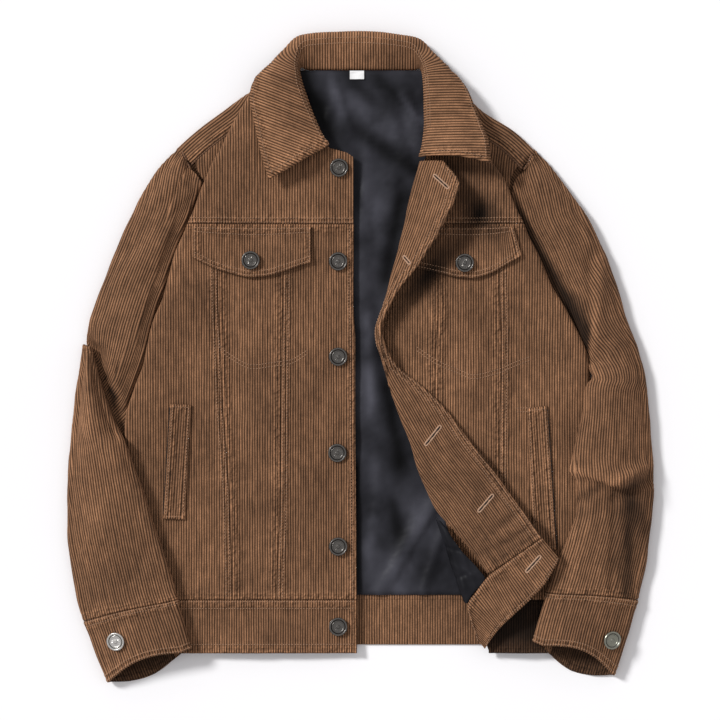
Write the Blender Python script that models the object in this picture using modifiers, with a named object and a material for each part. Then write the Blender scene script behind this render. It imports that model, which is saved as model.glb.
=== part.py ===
"""A corduroy trucker jacket laid flat on its back, its left front turned back.

The jacket lies on the plane Z = 0 with its hem towards -Y. The wearer's right is at -X.
Each piece that a maker cuts and sews is one wall of cloth: rows of points along the middle
of the wall, worked out from the tables below, and a Solidify modifier for its thickness.
Lengths in the tables are in millimetres, and MIDDLE is the tables' place of the jacket's
middle, which is moved to the origin.
"""

import math

import bmesh
import bpy
import numpy as np
from mathutils import Vector

MM = 0.001
CORDUROY = 1.8
DOUBLE = 2.4
SATIN = 1.0
SEAM_GAP = 0.3
FLOOR = CORDUROY / 2
LOW = 8.0
LIP = 18.0
HEM_Y = -327.0
BAND_Y = -267.0
YOKE_Y = 155.0
BUTTON_RADIUS = 10.4
MIDDLE = np.array((0.0, 5.25, 0.0))

BROWN = (0.17, 0.085, 0.045, 1)
NAVY = (0.03, 0.03, 0.04, 1)
WHITE = (0.8, 0.8, 0.8, 1)
DARK_METAL = (0.08, 0.08, 0.08, 1)
SILVER = (0.6, 0.6, 0.6, 1)


def table(columns, *rows):
    """A small table as {column: values}, its rows sorted by the first column."""
    data = np.array(sorted(rows), float)
    return {name: data[:, i] for i, name in enumerate(columns.split())}


def read(tab, column, key):
    """A column of a table at any key, on a smooth curve that never overshoots its rows."""
    x = next(iter(tab.values()))
    y = tab[column]
    step = np.diff(x)
    rise = np.diff(y) / step
    slope = np.concatenate([rise[:1], np.zeros(len(x) - 2), rise[-1:]])
    same = rise[1:] * rise[:-1] > 0
    near = 2 * step[1:] + step[:-1]
    far = step[1:] + 2 * step[:-1]
    mean = (near + far) / (near / np.where(same, rise[:-1], 1) + far / np.where(same, rise[1:], 1))
    slope[1:-1] = np.where(same, mean, 0)
    key = np.clip(key, x[0], x[-1])
    i = np.clip(np.searchsorted(x, key, "right") - 1, 0, len(x) - 2)
    t = (key - x[i]) / step[i]
    ends = (1 + 2 * t) * (1 - t) ** 2 * y[i] + t * t * (3 - 2 * t) * y[i + 1]
    return ends + step[i] * t * (1 - t) * ((1 - t) * slope[i] - t * slope[i + 1])


def ease(t):
    """0 below 0, 1 above 1, and a smooth step between."""
    t = np.clip(t, 0, 1)
    return t * t * (3 - 2 * t)


def ridge(t):
    """A soft ridge of height 1 at t = 0, gone by t = 2 or so."""
    return np.exp(-t * t)


# The two sides of the body, by height on the jacket: the fold at the side of the front, the
# armhole seam under it, the line where the sleeve has risen to its full height, the top of the
# front beside the fold, and the level of the lip that the fold ends in.
RIGHT_SIDE = table(
    "y fold arm full top lip",
    (302, -124, -104, -170, 18, 11.5),
    (262, -146, -140, -180, 18, 11.5),
    (239, -157, -172, -200, 18, 11.5),
    (223, -166, -187, -200, 18, 11.5),
    (204, -174, -178, -205, 19, 11.5),
    (190, -180, -171, -208, 19, 11),
    (157, -193, -170, -220, 19, 10.4),
    (123, -207, -181, -232, 19, 10.4),
    (76, -221, -200, -246, 19, 10.4),
    (41, -234, -212, -256, 18, 10.4),
    (2, -242, -221, -266, 18, 10.4),
    (-29, -254, -232, -274, 17, 10.4),
    (-56, -262, -240, -280, 17, 10.4),
    (-78, -264, -244, -284, 16, 10),
    (-106, -262, -240, -284, 13, 0.9),
    (-155, -252, -231, -280, 12, 0.9),
    (-222, -231, -210, -270, 12, 0.9),
    (-267, -219, -198, -262, 12, 0.9),
    (-328, -208, -187, -250, 11, 0.9),
)
LEFT_SIDE = table(
    "y fold arm full top lip",
    (302, 118, 96, 150, 18, 11.5),
    (262, 132, 138, 190, 18, 11.5),
    (239, 141, 172, 196, 18, 11.5),
    (226, 147, 178, 200, 19, 11.5),
    (204, 162, 170, 210, 20, 11.5),
    (172, 175, 166, 228, 20, 11),
    (153, 184, 168, 238, 20, 10.4),
    (123, 198, 180, 252, 20, 10.4),
    (92, 212, 193, 266, 20, 10.4),
    (58, 230, 209, 262, 20, 10.4),
    (27, 247, 228, 260, 19, 10.4),
    (8, 254, 235, 268, 17, 10),
    (-20, 258, 238, 272, 14, 0.9),
    (-60, 262, 241, 276, 12, 0.9),
    (-100, 262, 241, 276, 12, 0.9),
    (-155, 258, 237, 272, 12, 0.9),
    (-222, 238, 217, 250, 12, 0.9),
    (-267, 224, 203, 236, 12, 0.9),
    (-328, 212, 191, 226, 11, 0.9),
)

# The lengthwise seams of the right front, and its front edge.
RIGHT_SEAMS = table(
    "y outer inner edge",
    (241, -160, -86, -32),
    (235, -160, -86, -10),
    (200, -160, -86, -7),
    (69, -160, -87, -8),
    (25, -158, -88, -6),
    (-43, -155, -89, -6),
    (-155, -147, -90, -5),
    (-267, -144, -94, -4),
    (-328, -144, -94, -4),
)
# The same seams of the left front, and the fold that it is turned back along.
LEFT_SEAMS = table(
    "y outer inner edge",
    (302, 156, 88, 78),
    (254, 156, 88, 75),
    (204, 156, 88, 63),
    (170, 156, 88, 52),
    (125, 156, 88, 43),
    (66, 157, 88, 27),
    (30, 158, 86, 17),
    (2, 158, 84, 25),
    (-62, 157, 83, 46),
    (-124, 156, 84, 67),
    (-166, 154, 88, 86),
    (-205, 153, 101, 98),
    (-250, 151, 113, 111),
    (-267, 150, 119, 117),
    (-324, 150, 141, 139),
)
SIDES = {"right": (RIGHT_SIDE, RIGHT_SEAMS, -1), "left": (LEFT_SIDE, LEFT_SEAMS, 1)}

# Folds of the two fronts: where each starts and ends, how wide and how high it is.
FRONT_FOLDS = {
    "right": table(
        "x0 y0 x1 y1 wide high",
        (-152, 58, -146, -90, 13, -2.2),
        (-178, 60, -176, -60, 14, 1.6),
        (-118, 60, -112, -150, 20, 1.5),
        (-60, 120, -50, -120, 16, -1.2),
        (-205, -190, -160, -205, 8, -1.4),
    ),
    "left": table(
        "x0 y0 x1 y1 wide high",
        (150, 60, 152, -120, 10, -1.6),
        (120, 80, 112, -80, 18, 1.6),
        (205, 60, 222, -30, 14, 1.2),
        (60, -5, 160, 12, 14, -1.2),
        (190, 40, 235, -60, 12, -1.4),
    ),
}


def folds_at(tab, x, y):
    """The height that the straight soft folds of a table add at (x, y)."""
    total = 0 * x
    for x0, y0, x1, y1, wide, high in zip(*tab.values()):
        run = np.hypot(x1 - x0, y1 - y0)
        along = ((x - x0) * (x1 - x0) + (y - y0) * (y1 - y0)) / run
        across = ((x - x0) * (y1 - y0) - (y - y0) * (x1 - x0)) / run
        past = np.maximum(0, np.maximum(-along, along - run))
        total = total + high * ridge(np.hypot(across, past * 0.5) / wide)
    return total


def front_height(side, x, y):
    """The middle of a front's cloth, from its side fold to its front edge."""
    sides, seams, sign = SIDES[side]
    fold = read(sides, "fold", y)
    edge = read(seams, "edge", y)
    top = read(sides, "top", y)
    lip = read(sides, "lip", y)
    inward = (fold - x) * sign
    middle = 11 + 2 * ease((y - 100) / 150)
    at_edge = 8.6 + 3 * ease((y - 130) / 100)
    flat = top + (middle - top) * ease((inward - 12) / 70)
    flat = flat + (at_edge - middle) * ease(1 - (x - edge) * sign / 60)
    flat = flat + folds_at(FRONT_FOLDS[side], x, y) * ease((inward - 8) / 20)
    radius = (top - lip) / 2
    turn = np.clip((inward - FLOOR) / radius, 0, 1)
    drop = radius * (1 - np.sqrt(np.clip(turn * (2 - turn), 0, 1)))
    return flat - drop


def body_support(x, y):
    """How far the side of the body lifts what lies over it, beside the floor's level."""
    lift = 0 * x
    for sides, _, sign in SIDES.values():
        inward = (read(sides, "fold", y) - x) * sign
        high = read(sides, "top", y) + 3
        lift = np.maximum(lift, high * ease((inward + 9) / 10) * (x * sign > 0))
    return lift


# ---------------------------------------------------------------- making the cloth


def clear_scene():
    for old in list(bpy.data.objects):
        bpy.data.objects.remove(old, do_unlink=True)
    collection = bpy.data.collections.new("corduroy_jacket")
    bpy.context.scene.collection.children.link(collection)
    return collection


def material(name, colour, rough, metal=0.0):
    made = bpy.data.materials.get(name) or bpy.data.materials.new(name)
    made.use_nodes = True
    shader = made.node_tree.nodes["Principled BSDF"]
    shader.inputs["Base Color"].default_value = colour
    shader.inputs["Roughness"].default_value = rough
    shader.inputs["Metallic"].default_value = metal
    return made


def cloth(name, rows, wall=CORDUROY, colour=BROWN, rough=0.9):
    """One piece of cloth, from rows of points along the middle of its wall."""
    shape = bmesh.new()
    grid = [[shape.verts.new(np.array(point) * MM) for point in row] for row in rows]
    for low, high in zip(grid, grid[1:]):
        for i in range(len(low) - 1):
            shape.faces.new((low[i], low[i + 1], high[i + 1], high[i]))
    mesh = bpy.data.meshes.new(name)
    shape.to_mesh(mesh)
    shape.free()
    mesh.shade_smooth()
    piece = bpy.data.objects.new(name, mesh)
    piece.location = -MIDDLE * MM
    solid = piece.modifiers.new("wall", "SOLIDIFY")
    solid.thickness = wall * MM
    solid.offset = 0
    solid.use_even_offset = False
    mesh.materials.append(material(name + "_cloth", colour, rough))
    JACKET.objects.link(piece)
    return piece


def span(start, end, count):
    return np.linspace(0, 1, count)[:, None] * (np.array(end) - np.array(start)) + start


# ---------------------------------------------------------------- the fronts

# The shoulder line, where the back yoke turns forward, by distance across the jacket.
SHOULDERS = table(
    "x top",
    (-212, 233.5),
    (-207, 239),
    (-180, 263),
    (-157, 280),
    (-122, 305),
    (-95, 318),
    (-68, 327),
    (68, 327),
    (92, 318),
    (112, 306),
    (137, 282),
    (173, 259),
    (198, 235),
    (203, 229.5),
)


def shoulder_width(x):
    """How far the back yoke reaches over the shoulder line to the seam with the front."""
    return 6 + 18 * ease((np.abs(x) - 100) / 50)


def shoulder(x):
    """A point of the shoulder line and the direction from it into the body."""
    slope = (read(SHOULDERS, "top", x + 3) - read(SHOULDERS, "top", x - 3)) / 6
    inward = np.array([slope, -1]) / math.hypot(slope, 1)
    return np.array([x, read(SHOULDERS, "top", x)]), inward


def shoulder_seam(side):
    """The seam of the back yoke with a front, as x by y."""
    ends = (-206, -112) if side == "right" else (104, 197)
    points = []
    for x in np.linspace(*ends, 12):
        place, inward = shoulder(x)
        point = place + inward * shoulder_width(x)
        points.append((point[1], point[0]))
    return table("y x", *points)


def lower_end(side, y):
    """Where the lower layer of a front yoke ends: the shoulder seam, or the armhole seam."""
    seam = SHOULDER_SEAMS[side]
    if y > seam["y"][0]:
        return read(seam, "x", y)
    return read(SIDES[side][0], "arm", y)


SHOULDER_SEAMS = {side: shoulder_seam(side) for side in SIDES}


def front_rows(side, ys, start, end, count):
    """Rows of a front between two columns, each a function of y."""
    rows = []
    for y in ys:
        x = np.linspace(start(y), end(y), count)
        rows.append(np.stack([x, 0 * x + y, front_height(side, x, 0 * x + y)], 1))
    return rows


def turned_edge(side, y, steps=5, lip=LIP):
    """The side fold of a front at y, from the end of its lip up to where the top starts."""
    sides, _, sign = SIDES[side]
    fold = read(sides, "fold", y) - FLOOR * sign
    top = read(sides, "top", y)
    low = read(sides, "lip", y)
    radius = (top - low) / 2
    under = [(fold - sign * (radius + reach), y, low) for reach in (lip, lip / 2)]
    turn = [
        (fold - sign * radius * (1 - math.sin(a)), y, (top + low) / 2 - radius * math.cos(a))
        for a in np.linspace(0, math.pi, steps + 1)
    ]
    return under + turn


def side_rows(side, ys, end, count=7):
    """Rows of a side panel: the lip under the fold, the fold, and the top to the seam."""
    sign = SIDES[side][2]
    rows = []
    for y in ys:
        edge = turned_edge(side, y)
        x = np.linspace(edge[-1][0], end(y), count)[1:]
        top = np.stack([x, 0 * x + y, front_height(side, x, 0 * x + y)], 1)
        edge[-1] = (edge[-1][0], y, float(front_height(side, np.array(edge[-1][0]), y)))
        rows.append(np.concatenate([edge, top])[:: -sign])
    return rows


def yoke_rows(side, ys, end, count=7):
    """Rows of a front yoke: its lower layer out to the armhole or shoulder seam, the pleat
    under the fold, the fold, and the top across to the neck or the front edge."""
    sides, _, sign = SIDES[side]
    rows = []
    for y in ys:
        edge = turned_edge(side, y, lip=5)
        fold, low = edge[2][0], edge[0][2]
        seam = lower_end(side, y) - sign * 1.8
        radius = (low - LOW) / 2
        back = -sign * max(-sign * (fold - sign * 6), -sign * (seam - sign * 4))
        pleat = [
            (back - sign * radius * math.sin(a), y, (low + LOW) / 2 - radius * math.cos(a))
            for a in np.linspace(0, math.pi, 5)
        ]
        lower = span((seam, y, LOW), pleat[0], 4)[:-1]
        upper = span(pleat[-1], edge[2], 3)[1:-1]
        x = np.linspace(edge[-1][0], end(y), count)[1:]
        top = np.stack([x, 0 * x + y, front_height(side, x, 0 * x + y)], 1)
        edge[-1] = (edge[-1][0], y, float(front_height(side, np.array(edge[-1][0]), y)))
        rows.append(np.concatenate([lower, pleat, upper, edge[2:], top])[:: -sign])
    return rows


NECK = table(
    "y right left",
    (302, -67, 75),
    (285, -60, 74),
    (262, -51, 74),
    (250, -44, 74),
    (241, -36, 73),
    (236, -20, 71),
    (233, -8, 69),
    (155, -8, 52),
)


def build_right_front():
    seams = RIGHT_SEAMS
    gap = SEAM_GAP / 2

    def edge(y):
        return read(seams, "edge", y)

    def outer(y):
        return read(seams, "outer", y)

    def inner(y):
        return read(seams, "inner", y)

    yoke_y = np.concatenate([np.linspace(300, 244, 4), np.linspace(235, YOKE_Y + gap, 7)])
    cloth("right_yoke", yoke_rows("right", yoke_y, lambda y: read(NECK, "right", y)))
    ys = np.linspace(YOKE_Y - gap, BAND_Y + gap, 16)
    cloth("right_side_panel", side_rows("right", ys, lambda y: outer(y) - gap))
    cloth(
        "right_middle_panel",
        front_rows("right", ys, lambda y: outer(y) + gap, lambda y: inner(y) - gap, 4),
    )
    cloth("right_centre_panel", front_rows("right", ys, lambda y: inner(y) + gap, edge, 4))
    ys = np.linspace(BAND_Y - gap, HEM_Y, 4)
    cloth("right_waistband", side_rows("right", ys, edge, 9))


# Flap edges: the line along the top is level, and the foot comes to a soft point.
RIGHT_FLAP = table(
    "x foot",
    (-188, 117),
    (-180, 113),
    (-163, 105),
    (-146, 100),
    (-124, 95),
    (-107, 96),
    (-85, 102),
    (-68, 108),
    (-55, 112),
)
LEFT_FLAP = table(
    "x foot",
    (56, 107),
    (70, 104),
    (92, 99),
    (110, 95),
    (125, 94),
    (145, 99),
    (162, 108),
    (180, 119),
)
FLAP_TOP = 152.0


def build_flap(side, tab, lean):
    """A pocket flap, made from the points of the panels that it lies on, moved out."""
    rows = []
    feet = next(iter(tab.values()))
    for t in np.linspace(0, 1, 5):
        x = np.linspace(feet[0], feet[-1], 11)
        y = FLAP_TOP + (read(tab, "foot", x) - FLAP_TOP) * t
        x = x + lean * (1 - t) * ease((x - 150) / 30)
        lift = CORDUROY / 2 + SEAM_GAP + DOUBLE / 2 + 0.4 + 1.4 * t
        rows.append(np.stack([x, y, front_height(side, x, y) + lift], 1))
    cloth(side + "_flap", rows[::-1], DOUBLE)


# Hand pocket welts: head and foot corners of the strip on the side panel.
WELTS = {
    "right": ((-213, -47), (-190, -48), (-197, -177), (-221, -176)),
    "left": ((187, -52), (209, -49), (220, -211), (194, -208)),
}


def build_welt(side):
    """A hand pocket welt, made from the points of the side panel, moved out."""
    head_out, head_in, foot_in, foot_out = map(np.array, WELTS[side])
    rows = []
    for t in np.linspace(0, 1, 9):
        ends = span(head_out + (foot_out - head_out) * t, head_in + (foot_in - head_in) * t, 4)
        x, y = ends.T
        lift = CORDUROY / 2 + SEAM_GAP + CORDUROY / 2 + 0.4
        rows.append(np.stack([x, y, front_height(side, x, y) + lift], 1))
    cloth(side + "_welt", rows)


# The left front that is turned back, as lines from its fold to its free edge, with the height
# of the cloth at each. The seam with the waistband is the last line of the facing.
LEFT_FACING = table(
    "row fold_x fold_y edge_x edge_y rest crest free",
    (0, 67.5, 224.5, 92, 225, 16, 25, 30),
    (1, 66, 216, 110, 198, 16, 27, 38),
    (2, 57, 187, 104, 180, 15, 27, 40),
    (3, 48, 148, 89, 147, 14, 25, 38),
    (4, 40, 112, 66, 110, 13, 24, 33),
    (5, 28, 70, 37, 71, 12, 22, 27),
    (6, 17, 34, 24, 36, 12, 21, 23),
    (7, 25, 2, 38, 0, 12, 21, 24),
    (8, 34, -31, 68, -26, 12, 20, 26),
    (9, 46, -62, 94, -51, 12, 20, 29),
    (10, 57, -93, 119, -84, 12, 19, 32),
    (11, 67, -124, 143, -113, 12, 19, 34),
    (12, 86, -166, 168, -149, 12, 20, 36),
    (13, 106, -188, 184, -170, 12, 24, 37),
    (14, 125, -211, 194, -184, 12, 27, 38),
    (15, 145, -236, 202, -195, 12, 28, 38),
)
LEFT_BAND = table(
    "row fold_x fold_y edge_x edge_y crest free",
    (0, 202, -196, 221, -219, 38, 37),
    (1, 180, -211, 206, -246, 34, 36),
    (2, 160, -226, 188, -266, 31, 34),
    (3, 145, -237, 171, -282, 28, 31),
    (4, 130, -256, 159, -294, 24, 26),
    (5, 120, -274, 150, -305, 21, 21),
    (6, 132, -312, 139, -321, 18, 17),
)
LEFT_LINING = table(
    "row fold_x fold_y edge_x edge_y crest free",
    (0, 84, -174, 90, -179, 17, 18),
    (1, 91, -194, 112, -210, 16, 22),
    (2, 98, -216, 131, -230.5, 15, 24),
    (3, 105, -238, 139.5, -243, 15, 24),
    (4, 111, -256, 127.5, -257.5, 15, 21),
    (5, 117, -270, 120, -270, 16, 18),
)


def turned_rows(tab, count, keys):
    """Rows of the turned-back left front: a crown from its fold line to its free edge."""
    rows = []
    for key in keys:
        fold_x, fold_y, edge_x, edge_y, crest, free = (
            read(tab, name, key) for name in "fold_x fold_y edge_x edge_y crest free".split()
        )
        t = np.linspace(0, 1, count)
        z = crest + (free - crest) * t + 1.5 * np.sin(math.pi * t)
        rows.append(np.stack([fold_x + (edge_x - fold_x) * t, fold_y + (edge_y - fold_y) * t, z], 1))
    return rows


def build_left_front():
    seams = LEFT_SEAMS
    gap = SEAM_GAP / 2

    def edge(y):
        return read(seams, "edge", y) + 5

    def outer(y):
        return read(seams, "outer", y)

    def inner(y):
        return np.maximum(read(seams, "inner", y), edge(y) + 6)

    yoke_y = np.linspace(300, YOKE_Y + gap, 12)
    cloth("left_yoke", yoke_rows("left", yoke_y, lambda y: read(NECK, "left", y) + 5))
    ys = np.linspace(YOKE_Y - gap, BAND_Y + gap, 16)
    cloth("left_side_panel", side_rows("left", ys, lambda y: outer(y) + gap))
    cloth(
        "left_middle_panel",
        front_rows("left", ys, lambda y: inner(y) + gap, lambda y: outer(y) - gap, 4),
    )
    cloth("left_centre_panel", front_rows("left", ys, edge, lambda y: inner(y) - gap, 4))
    ys = np.linspace(BAND_Y - gap, HEM_Y, 4)
    cloth("left_waistband", side_rows("left", ys, edge, 8))
    cloth("left_facing", facing_rows(np.linspace(0, 15, 21)), DOUBLE)
    cloth("left_band_end", turned_rows(LEFT_BAND, 5, np.linspace(0, 6, 10)), DOUBLE)
    cloth("left_lining", turned_rows(LEFT_LINING, 4, np.linspace(0, 5, 8)), SATIN, NAVY, 0.4)


def facing_rows(keys):
    """The facing, with the fold that joins it to the front under it."""
    rows = []
    clear = CORDUROY / 2 + SEAM_GAP + DOUBLE / 2 + 0.1
    for row, key in zip(turned_rows(LEFT_FACING, 7, keys), keys):
        rest, crest = (read(LEFT_FACING, name, key) for name in ("rest", "crest"))
        under = np.linspace(row[0][:2], row[-1][:2], 5)
        rest = max(rest, np.max(front_height("left", under[:3, 0], under[:3, 1])) + clear)
        wide = np.linalg.norm(row[-1] - row[0])
        away = (row[-1] - row[0]) / wide
        away[2] = 0
        radius = (crest - rest) / 2
        turn = [
            row[0] + away * radius * (1 - math.sin(a)) + (0, 0, -radius * (1 + math.cos(a)))
            for a in np.linspace(0, math.pi, 6)
        ]
        depth = min(radius, wide * 0.45)
        for point in turn:
            point[:2] = row[0][:2] + (point[:2] - row[0][:2]) * depth / radius
        start = np.array([*turn[-1][:2], crest])
        top = span(start, row[-1], len(row))[1:]
        top[:, 2] += 1.5 * np.sin(np.pi * np.linspace(0, 1, len(row))[1:])
        rows.append(np.concatenate([turn, top]))
    return rows


# ---------------------------------------------------------------- the back

def build_back():
    gap = SEAM_GAP / 2

    def sides(y):
        right = read(RIGHT_SIDE, "fold", y) + LIP + 8
        left = read(LEFT_SIDE, "fold", y) - LIP - 8
        return right, left

    rows = [span((sides(y)[0], y, FLOOR), (sides(y)[1], y, FLOOR), 9) for y in
            np.linspace(BAND_Y - gap, YOKE_Y - gap, 12)]
    cloth("back", rows[::-1])
    rows = [span((sides(y)[0], y, FLOOR), (sides(y)[1], y, FLOOR), 9) for y in
            np.linspace(-318, BAND_Y - SEAM_GAP, 3)]
    cloth("back_waistband", rows[::-1])
    build_back_yoke()
    x = np.linspace(-150, 150, 13)
    rows = []
    for y in np.concatenate([np.linspace(-262, 304, 14), (310, 316, 321, 327.3)]):
        half = 150 - 88 * ease((y - 190) / 125)
        across = x * half / 150
        rows.append(np.stack([across, 0 * x + y, lining_height(across, 0 * x + y)], 1))
    cloth("back_lining", rows, SATIN, NAVY, 0.4)


LINING_FOLDS = table(
    "x0 y0 x1 y1 wide high",
    (6, 190, 4, -140, 7, 1.6),
    (-30, 300, -18, 250, 7, 2.2),
    (52, 300, 66, 240, 7, 2.2),
    (30, 290, 50, 230, 8, 2.0),
    (80, -160, 30, -250, 8, 2.2),
    (14, 20, 22, -220, 7, 1.2),
)


def lining_height(x, y):
    """The middle of the back lining's wall, over the back and the turned edge of its yoke."""
    rest = CORDUROY + SEAM_GAP + SATIN / 2
    over_yoke = (LOW - FLOOR) * ease((y - 308) / 10)
    return rest + over_yoke + np.maximum(0, folds_at(LINING_FOLDS, x, y)) * ease((318 - y) / 20)


def build_back_yoke():
    """The back yoke lies on the floor, turns up along the shoulders and ends at the shoulder
    seams on top. Its rows run from its lower seam to the shoulder line."""
    radius = (LOW - FLOOR) / 2
    foot = YOKE_Y + SEAM_GAP / 2
    rows = []
    for x in np.concatenate([np.linspace(-206.9, -106, 10), (-88, -66, 0, 66, 86),
                             np.linspace(100, 198, 9)]):
        place, inward = shoulder(x)
        start = place + inward * (radius + FLOOR)
        reach = shoulder_width(x) - radius - FLOOR
        angles = np.linspace(0, math.pi, 5)[1:]
        rolled = [start - inward * radius * math.sin(a) for a in angles]
        rolled += [start + inward * reach * t for t in (0.5, 1)]
        rise = [radius * (1 - math.cos(a)) for a in angles] + [2 * radius] * 2
        points = [(*p, FLOOR) for p in span((x * 0.8, foot), start, 5)]
        points += [(*p, FLOOR + lift) for p, lift in zip(rolled, rise)]
        rows.append(points)
    cloth("back_yoke", rows)


# ---------------------------------------------------------------- the sleeves

# A sleeve as lines across it, from its outer fold to its inner edge. At the armhole the layer
# on top ends at the inner point and the layer on the floor at the back point; wrap says how far
# the inner edge has closed round to the underarm seam, and over whether the sleeve lies over
# the side of the body. lift raises the lower layer at the inner edge; edge and rim are how thick
# the sleeve is at its two edges, crown the height of its top; bow_top and bow_low move the two
# layers along the sleeve, away from the cuff and towards it.
SLEEVE_COLUMNS = "row out_x out_y in_x in_y back lift edge rim crown wrap over bow_top bow_low"
RIGHT_UPPER_ARM = table(
    SLEEVE_COLUMNS,
    (0, -209, 241, -190.5, 216.5, 22, 0, 6, 7.1, 10, 0, 0, 0, 0),
    (1, -226, 218, -179.5, 203, 16, 0, 9, 7.1, 17, 0, 0, 0, 0),
    (2, -247, 183, -172, 159, 2, 0, 12, 7.1, 22, 0, 0, 0, 0),
    (3, -269, 137, -183, 122, 1.5, 0, 13, 7.1, 24, 0, 0, 0, 0),
    (4, -287, 92, -202, 76, 0, 0, 13, 7.1, 24, 0, 0, 0, 0),
    (5, -303, 47, -219, 19, 0, 0, 12, 7.1, 22, 0, 0, 0, 0),
    (6, -305, 36, -231, -22, 0, 0, 11, 7.1, 20, 0, 0, 0, 0),
    (7, -307.5, 25, -246, -66, 0, 0, 7, 6.5, 16, 0.2, 0, 0, 0),
    (8, -307, 15, -268, -84, 0, 0, 3.7, 3.7, 4.6, 1, 0, 0, 0),
    (9, -306, 9, -269, -89, 0, 0, 3.7, 3.7, 4.6, 1, 0, 0, 0),
)
RIGHT_FOREARM = table(
    SLEEVE_COLUMNS,
    (0, -311, 20, -302, 16, 0, 6.2, 9, 9, 14, 1, 1, 0, 0),
    (1, -313.5, 2, -299, 1, 0, 6.2, 13, 9, 18, 1, 1, 0, 0),
    (2, -318, -27, -291, -27, 0, 6.2, 13, 13, 27, 1, 1, 0, 0),
    (3, -322, -59, -280, -59, 0, 6.2, 13, 13, 28, 1, 1, 0, 0),
    (4, -325, -93, -264, -91, 0, 6.2, 13, 12, 29, 1, 1, 0, 0),
    (5, -329, -151, -242, -151, 0, 3, 13, 11, 30, 1, 1, 0, 0),
    (6, -328, -199, -226, -199, 0, 0, 13, 11, 30, 1, 1, 0, 0),
    (7, -320, -255, -209, -251, 0, 0, 13, 11, 29, 1, 1, 0, 0),
    (8, -310, -291, -206, -266, 0, 0, 13, 10, 28, 1, 1, 2, 2),
    (9, -283, -360, -191, -321, 0, 0, 12, 9, 26, 1, 1, 10, 12),
)
LEFT_SLEEVE = table(
    SLEEVE_COLUMNS,
    (0, 201, 238, 183, 215, 21, 0, 6, 7.1, 10, 0, 0, 0, 0),
    (1, 223, 207, 172, 200, 15, 0, 9, 7.1, 17, 0, 0, 0, 0),
    (2, 246, 174, 168.7, 157, 1, 0, 12, 7.1, 22, 0, 0, 0, 0),
    (3, 268, 133, 183.5, 119, 0, 0, 13, 7.1, 24, 0, 0, 0, 0),
    (4, 283, 97, 202, 76, 0, 0, 13, 7.1, 25, 0, 0, 0, 0),
    (5, 298, 49, 225, 36, 0, 0, 13, 7.1, 25, 0, 0, 0, 0),
    (6, 304, 32, 238, 20, 0, 0, 13, 7.1, 24, 0.1, 0, 0, 0),
    (7, 310, 16, 252, 8, 0, 0, 13, 7.1, 23, 0.4, 0, 0, 0),
    (8, 314, 2, 257.5, 1, 0, 0, 13, 7.1, 23, 0.8, 0, 0, 0),
    (9, 317, -7, 261, -4, 0, 7, 13, 8, 25, 0.9, 0, 0, 0),
    (10, 319.5, -20, 262.8, -16, 0, 15.8, 13, 8, 28, 1, 0.3, 0, 0),
    (11, 321.5, -33, 252, -28, 0, 15.8, 13, 9, 30, 1, 1, 0, 0),
    (12, 323, -54, 246, -54, 0, 0, 13, 10, 30, 1, 1, 0, 0),
    (13, 326, -87, 240.5, -90, 0, 0, 13, 10, 30, 1, 1, 0, 0),
    (14, 328, -110, 238, -115, 0, 0, 13, 10, 30, 1, 1, 0, 0),
    (15, 329, -140, 244, -140, 0, 0, 13, 10, 30, 1, 1, 0, 0),
    (16, 328, -165, 243, -165, 0, 0, 13, 10, 30, 1, 1, 0, 0),
    (17, 324, -194, 233, -196, 0, 0, 13, 10, 30, 1, 1, 0, 0),
    (18, 319, -233, 217, -232, 0, 0, 13, 10, 29, 1, 1, 0, 0),
    (19, 311, -267, 209, -258, 0, 0, 13, 10, 28, 1, 1, 2, 2),
    (20, 284, -352, 194, -313, 0, 0, 12, 9, 26, 1, 1, 12.5, 14.5),
)
# The row of the left sleeve that parts its upper arm from its forearm.
LEFT_ELBOW = 10.44
# The inner edge of the right forearm, where it lies over the end of the upper arm.
FOREARM_EDGE = table(
    "y x",
    (34, -320),
    (24, -309),
    (14, -299),
    (1, -297),
    (-27, -290),
    (-59, -279),
    (-93, -264),
    (-151, -242),
)
FLAT_END = 4.6
SLEEVE_FOLDS = {
    "right": table(
        "x0 y0 x1 y1 wide high",
        (-215, 170, -262, 128, 12, -3),
        (-232, 96, -280, 70, 14, -2.5),
        (-318, -60, -262, -118, 10, 3),
        (-322, -110, -250, -160, 12, -2.5),
        (-300, -210, -240, -232, 11, -2),
    ),
    "left": table(
        "x0 y0 x1 y1 wide high",
        (239, -115, 294, -129, 8, 4.5),
        (298, -130, 328, -112, 8, 4.5),
        (246, -130, 300, -146, 7, -5),
        (215, 150, 258, 120, 12, -2.5),
        (240, 70, 290, 40, 12, -2.5),
        (262, -190, 250, -240, 12, -2.5),
    ),
}


def sleeve_top_limit(side, x, y):
    """How high a sleeve may stand at (x, y) where it comes out from under the front's fold,
    and where the end of the right upper arm lies under the forearm."""
    sides, _, sign = SIDES[side]
    fold = read(sides, "fold", y)
    past = (x - fold) * sign - 4
    room = (read(sides, "full", y) - fold) * sign - 4
    limit = LOW + 22 * ease(past / room)
    if side == "right":
        beside = x - read(FOREARM_EDGE, "x", y) - 3
        limit = np.minimum(limit, FLAT_END + 20 * ease(beside / 18))
    return limit


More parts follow.
